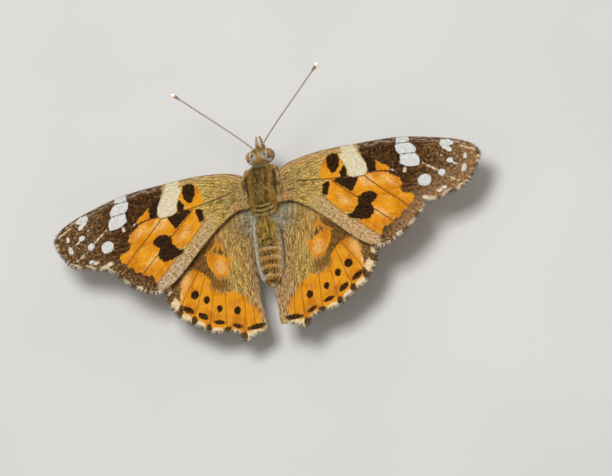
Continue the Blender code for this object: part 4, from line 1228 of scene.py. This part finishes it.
def add_brows(material, random):
    """Hair that covers each eye's inner side, with a pale rim of scales where the eye comes free."""
    for side, values in SIDES.items():
        ball = unit(random.standard_normal((5200, 3)))
        outward = ball[:, 0] * values["sign"]
        free = np.minimum(outward - 0.25 * ball[:, 2] + 0.10, 0.80 - ball[:, 1])
        kept = (free < 0) & (outward > -0.95) & (ball[:, 1] > -0.97)
        ball, free = ball[kept], free[kept]
        roots = mirrored(EYE_MIDDLE, values["sign"]) + ball * EYE_HALF_SIZE * 0.99
        lies = np.array([values["sign"] * 0.35, 1, 0]) + random.standard_normal((len(roots), 3)) * 0.3
        rim = fade(free, -0.26, -0.12)
        turn = np.arctan2(roots[:, 0], roots[:, 2] - EYE_MIDDLE[2])
        shape = Shape()
        add_tufts(shape, roots, lies, unit(ball / EYE_HALF_SIZE), 0.27 - 0.06 * rim, 0.038 + 0.014 * rim, 0.38,
                  0.4, body_unwrap(roots[:, 1], turn), random, **body_layers(roots, turn, rim))
        shape.build("brow_" + side, material, "head_hair")


def add_shoulders(material, random):
    """Slender flaps of long hair over the forewings' roots, each on a thin curved pad."""
    for side, values in SIDES.items():
        path = smooth_path(mirrored(SHOULDER_PATH, values["sign"]), 0.08)
        share = np.linspace(0, 1, len(path))
        radii = 0.09 * np.sqrt(np.maximum(np.sin(np.pi * np.clip(share, 0.02, 0.98)), 0.02))
        shape = Shape()
        layers = {"ring": -1, "under": -1, "rim": 0, "shoulder": 1}
        add_tube(shape, path, radii, share, **layers)
        add_tube_scales(shape, path, radii, 2600, 0.55, 0.036, 0.13, 0.25, WHOLE, random, **layers)
        shape.build("shoulder_" + side, material, "thorax_hair")


def add_flanks(material, random):
    """White hair that stands out from the abdomen's sides, fuller on the left."""
    shape = Shape()
    for sign, count, length in ((1, 4800, 0.50), (-1, 900, 0.28)):
        y = random.uniform(3.5, 12.3, count)
        turn = sign * (1.23 + 0.19 * random.standard_normal(count))
        points, normals, back = body_frame(y, turn)
        lies = back + np.cross(normals, back) * random.standard_normal((count, 1)) * 0.25
        add_tufts(shape, points, lies, normals, length, 0.042, 0.60, 0.5, body_unwrap(y, turn), random,
                  **body_layers(points, turn, 0.95))
    shape.build("flank_hair", material, "abdomen_scales")


def add_eyes(material):
    """Finely faceted eyes set in the sides of the head."""
    tilt, turn = np.meshgrid(np.linspace(0.02, math.pi - 0.02, 64), 2 * math.pi * np.arange(96) / 96, indexing="ij")
    ball = np.stack([np.sin(tilt) * np.cos(turn), np.sin(tilt) * np.sin(turn), -np.cos(tilt)], axis=-1)
    for side, values in SIDES.items():
        points, triangles, unwrap, _ = loft(mirrored(EYE_MIDDLE, values["sign"]) + ball * EYE_HALF_SIZE)
        shape = Shape()
        shape.add(points, triangles, unwrap, place=points)
        shape.build("eye_surface_" + side, material, "eye", "eye_" + side)


def add_antennae(material):
    """Thin jointed shafts that end in clubs."""
    for side, values in SIDES.items():
        path = smooth_path(mirrored(ANTENNA_PATH, values["sign"]), 0.06)
        share = np.linspace(0, 1, len(path))
        swell = np.sin(0.5 * np.pi * fade(share, CLUB_START, CLUB_WIDEST)) ** 2
        radii = SHAFT_RADIUS + (CLUB_RADIUS - SHAFT_RADIUS) * swell
        radii *= np.maximum(1 - fade(share, CLUB_WIDEST, 1) ** 4, 0.02)
        radii *= 1 + 0.10 * (((share * ANTENNA_JOINTS) % 1) > 0.75) * (swell < 0.5)
        shape = Shape()
        add_tube(shape, path, radii, share)
        shape.build("antenna_shaft_" + side, material, "antenna", "antenna_" + side)


def add_palps(material, random):
    """Two scaly palps that reach forward like a beak."""
    for side, values in SIDES.items():
        path = smooth_path(mirrored(PALP_PATH, values["sign"]), 0.06)
        share = np.linspace(0, 1, len(path))
        radii = np.interp(share, np.linspace(0, 1, len(PALP_RADII)), PALP_RADII)
        shape = Shape()
        add_tube(shape, path, radii, share)
        add_tube_scales(shape, path, radii, 1500, 0.30, 0.045, 0.22, 0.35, WHOLE, random)
        shape.build("palp_coat_" + side, material, "palp_scales", "palp_" + side)


def add_tongue(material):
    """The tongue, rolled up under the head like a watch spring."""
    turn = np.linspace(0, COIL_TURNS, 260)
    radius, angle = COIL_OUTER - COIL_PITCH * turn, 2 * math.pi * turn
    coil = np.stack([0 * turn, radius * np.cos(angle), -radius * np.sin(angle)], axis=1) + COIL_MIDDLE
    path = np.concatenate([smooth_path(TONGUE_ROOT + [tuple(coil[0])], 0.06)[:-1], coil])
    share = np.linspace(0, 1, len(path))
    shape = Shape()
    add_tube(shape, path, np.interp(share, (0, 1), TONGUE_RADII), share, sides=14, flatten=1.2)
    shape.build("proboscis_coil", material, "proboscis", "proboscis")


def add_leg_segment(shape, start, end, index, random):
    """Adds one scaly segment of a leg, rounded at both ends: the last lies along the floor as a foot."""
    share = np.linspace(0, 1, 40)
    path = start + (end - start) * share[:, None]
    thick, thin = LEG_RADII[index]
    radii = thick + (thin - thick) * share
    if index == 1:
        radii *= 1 + 0.25 * np.sin(np.pi * share)
    if index == 3:
        path[:, 2] = SOLE + (start[2] - SOLE) * np.exp(-share * 12)
        radii *= 1 + 0.22 * ((share * FOOT_JOINTS) % 1) ** 3
    rounded = np.minimum(share, 1 - share) * np.linalg.norm(end - start) / radii
    radii *= np.sqrt(np.clip(rounded * (2 - np.minimum(rounded, 1)), 0.02, 1))
    box = (0.04 + 0.24 * index, 0.04, 0.22 + 0.24 * index, 0.96)
    count, length = LEG_SCALES[index]
    add_tube(shape, path, radii, index + share, sides=12, box=box)
    add_tube_scales(shape, path, radii, count, length, 0.045, 0.25, 0.2, box, random, start=index)


def add_claws(shape, end, ahead):
    """Adds two small hooked claws at the end of a foot."""
    ahead = unit(ahead * (1, 1, 0))
    across = np.cross((0, 0, 1), ahead)
    for turn in (1, -1):
        path = smooth_path([end - ahead * 0.05, end + ahead * 0.08 + across * turn * 0.06,
                            end + ahead * 0.18 + across * turn * 0.09 - (0, 0, 0.07)], 0.03)
        box = (0.97, 0.1 + 0.2 * (turn > 0), 0.99, 0.2 + 0.2 * (turn > 0))
        add_tube(shape, path, np.linspace(0.04, 0.01, len(path)), np.full(len(path), 3.95), sides=6, box=box)


def add_legs(material, random):
    """Scaly legs: thick thighs, thin shins, and jointed feet with claws."""
    for side, values in SIDES.items():
        for kind, given in LEGS.items():
            joints = mirrored(given, values["sign"])
            shape = Shape()
            for index, (start, end) in enumerate(zip(joints, joints[1:])):
                add_leg_segment(shape, start, end, index, random)
            if kind != "foreleg":
                add_claws(shape, joints[-1], joints[-1] - joints[-2])
            shape.build(f"{kind}_{side}_scales", material, "leg_scales", f"{kind}_{side}")


# Setting, in metres


def stage(name, data):
    """A new object that isn't part of the animal."""
    made = bpy.data.objects.new(name, data)
    bpy.context.scene.collection.objects.link(made)
    return made


def add_floor():
    mesh = bpy.data.meshes.new("floor")
    half = 1.5
    mesh.from_pydata([(-half, -half, 0), (half, -half, 0), (half, half, 0), (-half, half, 0)], [], [(0, 1, 2, 3)])
    mesh.materials.append(begin("floor", Specular_IOR_Level=0.2))
    grain = noise(Field("TexCoord", {}, "Object"), 30)
    finish(tone(grain, "cecdca", "d2d1ce"), ease(grain, 0.3, 0.7, 0.85, 0.95), grain, 0.00001)
    stage("floor", mesh)


def camera_axes():
    """Right, up and back of the camera."""
    azimuth, elevation, roll = (math.radians(angle) for angle in (AZIMUTH, ELEVATION, ROLL))
    back = Vector((math.sin(azimuth) * math.cos(elevation), -math.cos(azimuth) * math.cos(elevation),
                   math.sin(elevation)))
    right = Vector((0, 0, 1)).cross(back).normalized()
    up = back.cross(right)
    return right * math.cos(roll) + up * math.sin(roll), up * math.cos(roll) - right * math.sin(roll), back


def add_camera():
    right, up, back = camera_axes()
    camera = bpy.data.cameras.new("camera")
    camera.sensor_width = SENSOR_WIDTH
    camera.lens = SENSOR_WIDTH * CAMERA_DISTANCE / (PIXEL_SPAN * PICTURE_WIDTH)
    camera.clip_start = 0.01
    camera.clip_end = 10
    place = Vector(ORIGIN) + (Vector(TARGET) + back * CAMERA_DISTANCE) * MILLIMETRE
    holder = stage("camera", camera)
    holder.matrix_world = Matrix.Translation(place) @ Matrix((right, up, back)).transposed().to_4x4()
    bpy.context.scene.camera = holder


def add_light(name, place, size, power):
    """A soft square lamp aimed at the animal."""
    lamp = bpy.data.lights.new(name, "AREA")
    lamp.shape = "SQUARE"
    lamp.size = size
    lamp.energy = power
    holder = stage(name, lamp)
    holder.location = place
    holder.rotation_euler = (-place).to_track_quat("-Z", "Y").to_euler()


def add_lights():
    """A key lamp above the picture's upper left, a weak fill from its lower right, and a pale sky."""
    right, up, back = camera_axes()
    add_light("key", back * 0.30 + up * 0.16 - right * 0.12, 0.15, 1.05)
    fill = back * 0.20 - up * 0.20 + right * 0.25
    fill.z = max(fill.z, 0.12)
    add_light("fill", fill, 0.25, 0.22)
    world = bpy.data.worlds.new("studio")
    world.use_nodes = True
    sky = world.node_tree.nodes["Background"].inputs
    sky["Color"].default_value = (1, 0.99, 0.97, 1)
    sky["Strength"].default_value = 0.34
    bpy.context.scene.world = world
    bpy.context.scene.view_settings.view_transform = "Standard"


for item in list(bpy.data.objects):
    bpy.data.objects.remove(item)
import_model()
thorax_low, thorax_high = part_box("thorax")
ORIGIN = np.array([(thorax_low[0] + thorax_high[0]) / 2, thorax_high[1] - THORAX_REAR * MILLIMETRE,
                   HINGE_HEIGHT * MILLIMETRE])
OUTLINES = {(kind, side): wing_outline(kind, side) for kind in HINGES for side in SIDES}
SMOOTH_SECTIONS = smooth_path(SKIN_SECTIONS, 0.05)

wing_paint = {kind: wing_material(kind) for kind in HINGES}
for number, (kind, side) in enumerate(OUTLINES):
    wing_random = np.random.default_rng(100 + number)
    add_wing_skin(kind, side, wing_paint[kind])
    add_wing_hair(kind, side, wing_paint[kind], wing_random)
    add_fringe(kind, side, wing_paint[kind], wing_random)

coat = body_material()
body_random = np.random.default_rng(7)
add_body_skin(coat)
add_body_coat("head_hair", coat, -7.4, -4.6, 0.06, 0.42, 0.040, 0.70, 0.5, body_random)
add_body_coat("thorax_hair", coat, -4.7, 3.3, 0.076, 0.80, 0.050, 0.42, 0.45, body_random)
add_body_coat("abdomen_scales", coat, 3.0, 13.4, 0.085, 0.34, 0.060, 0.22, 0.3, body_random)
add_brows(coat, body_random)
add_shoulders(coat, body_random)
add_flanks(coat, body_random)
add_eyes(eye_material())
add_antennae(antenna_material())
add_palps(palp_material(), body_random)
add_tongue(tongue_material())
add_legs(leg_material(), body_random)

add_floor()
add_lights()
add_camera()
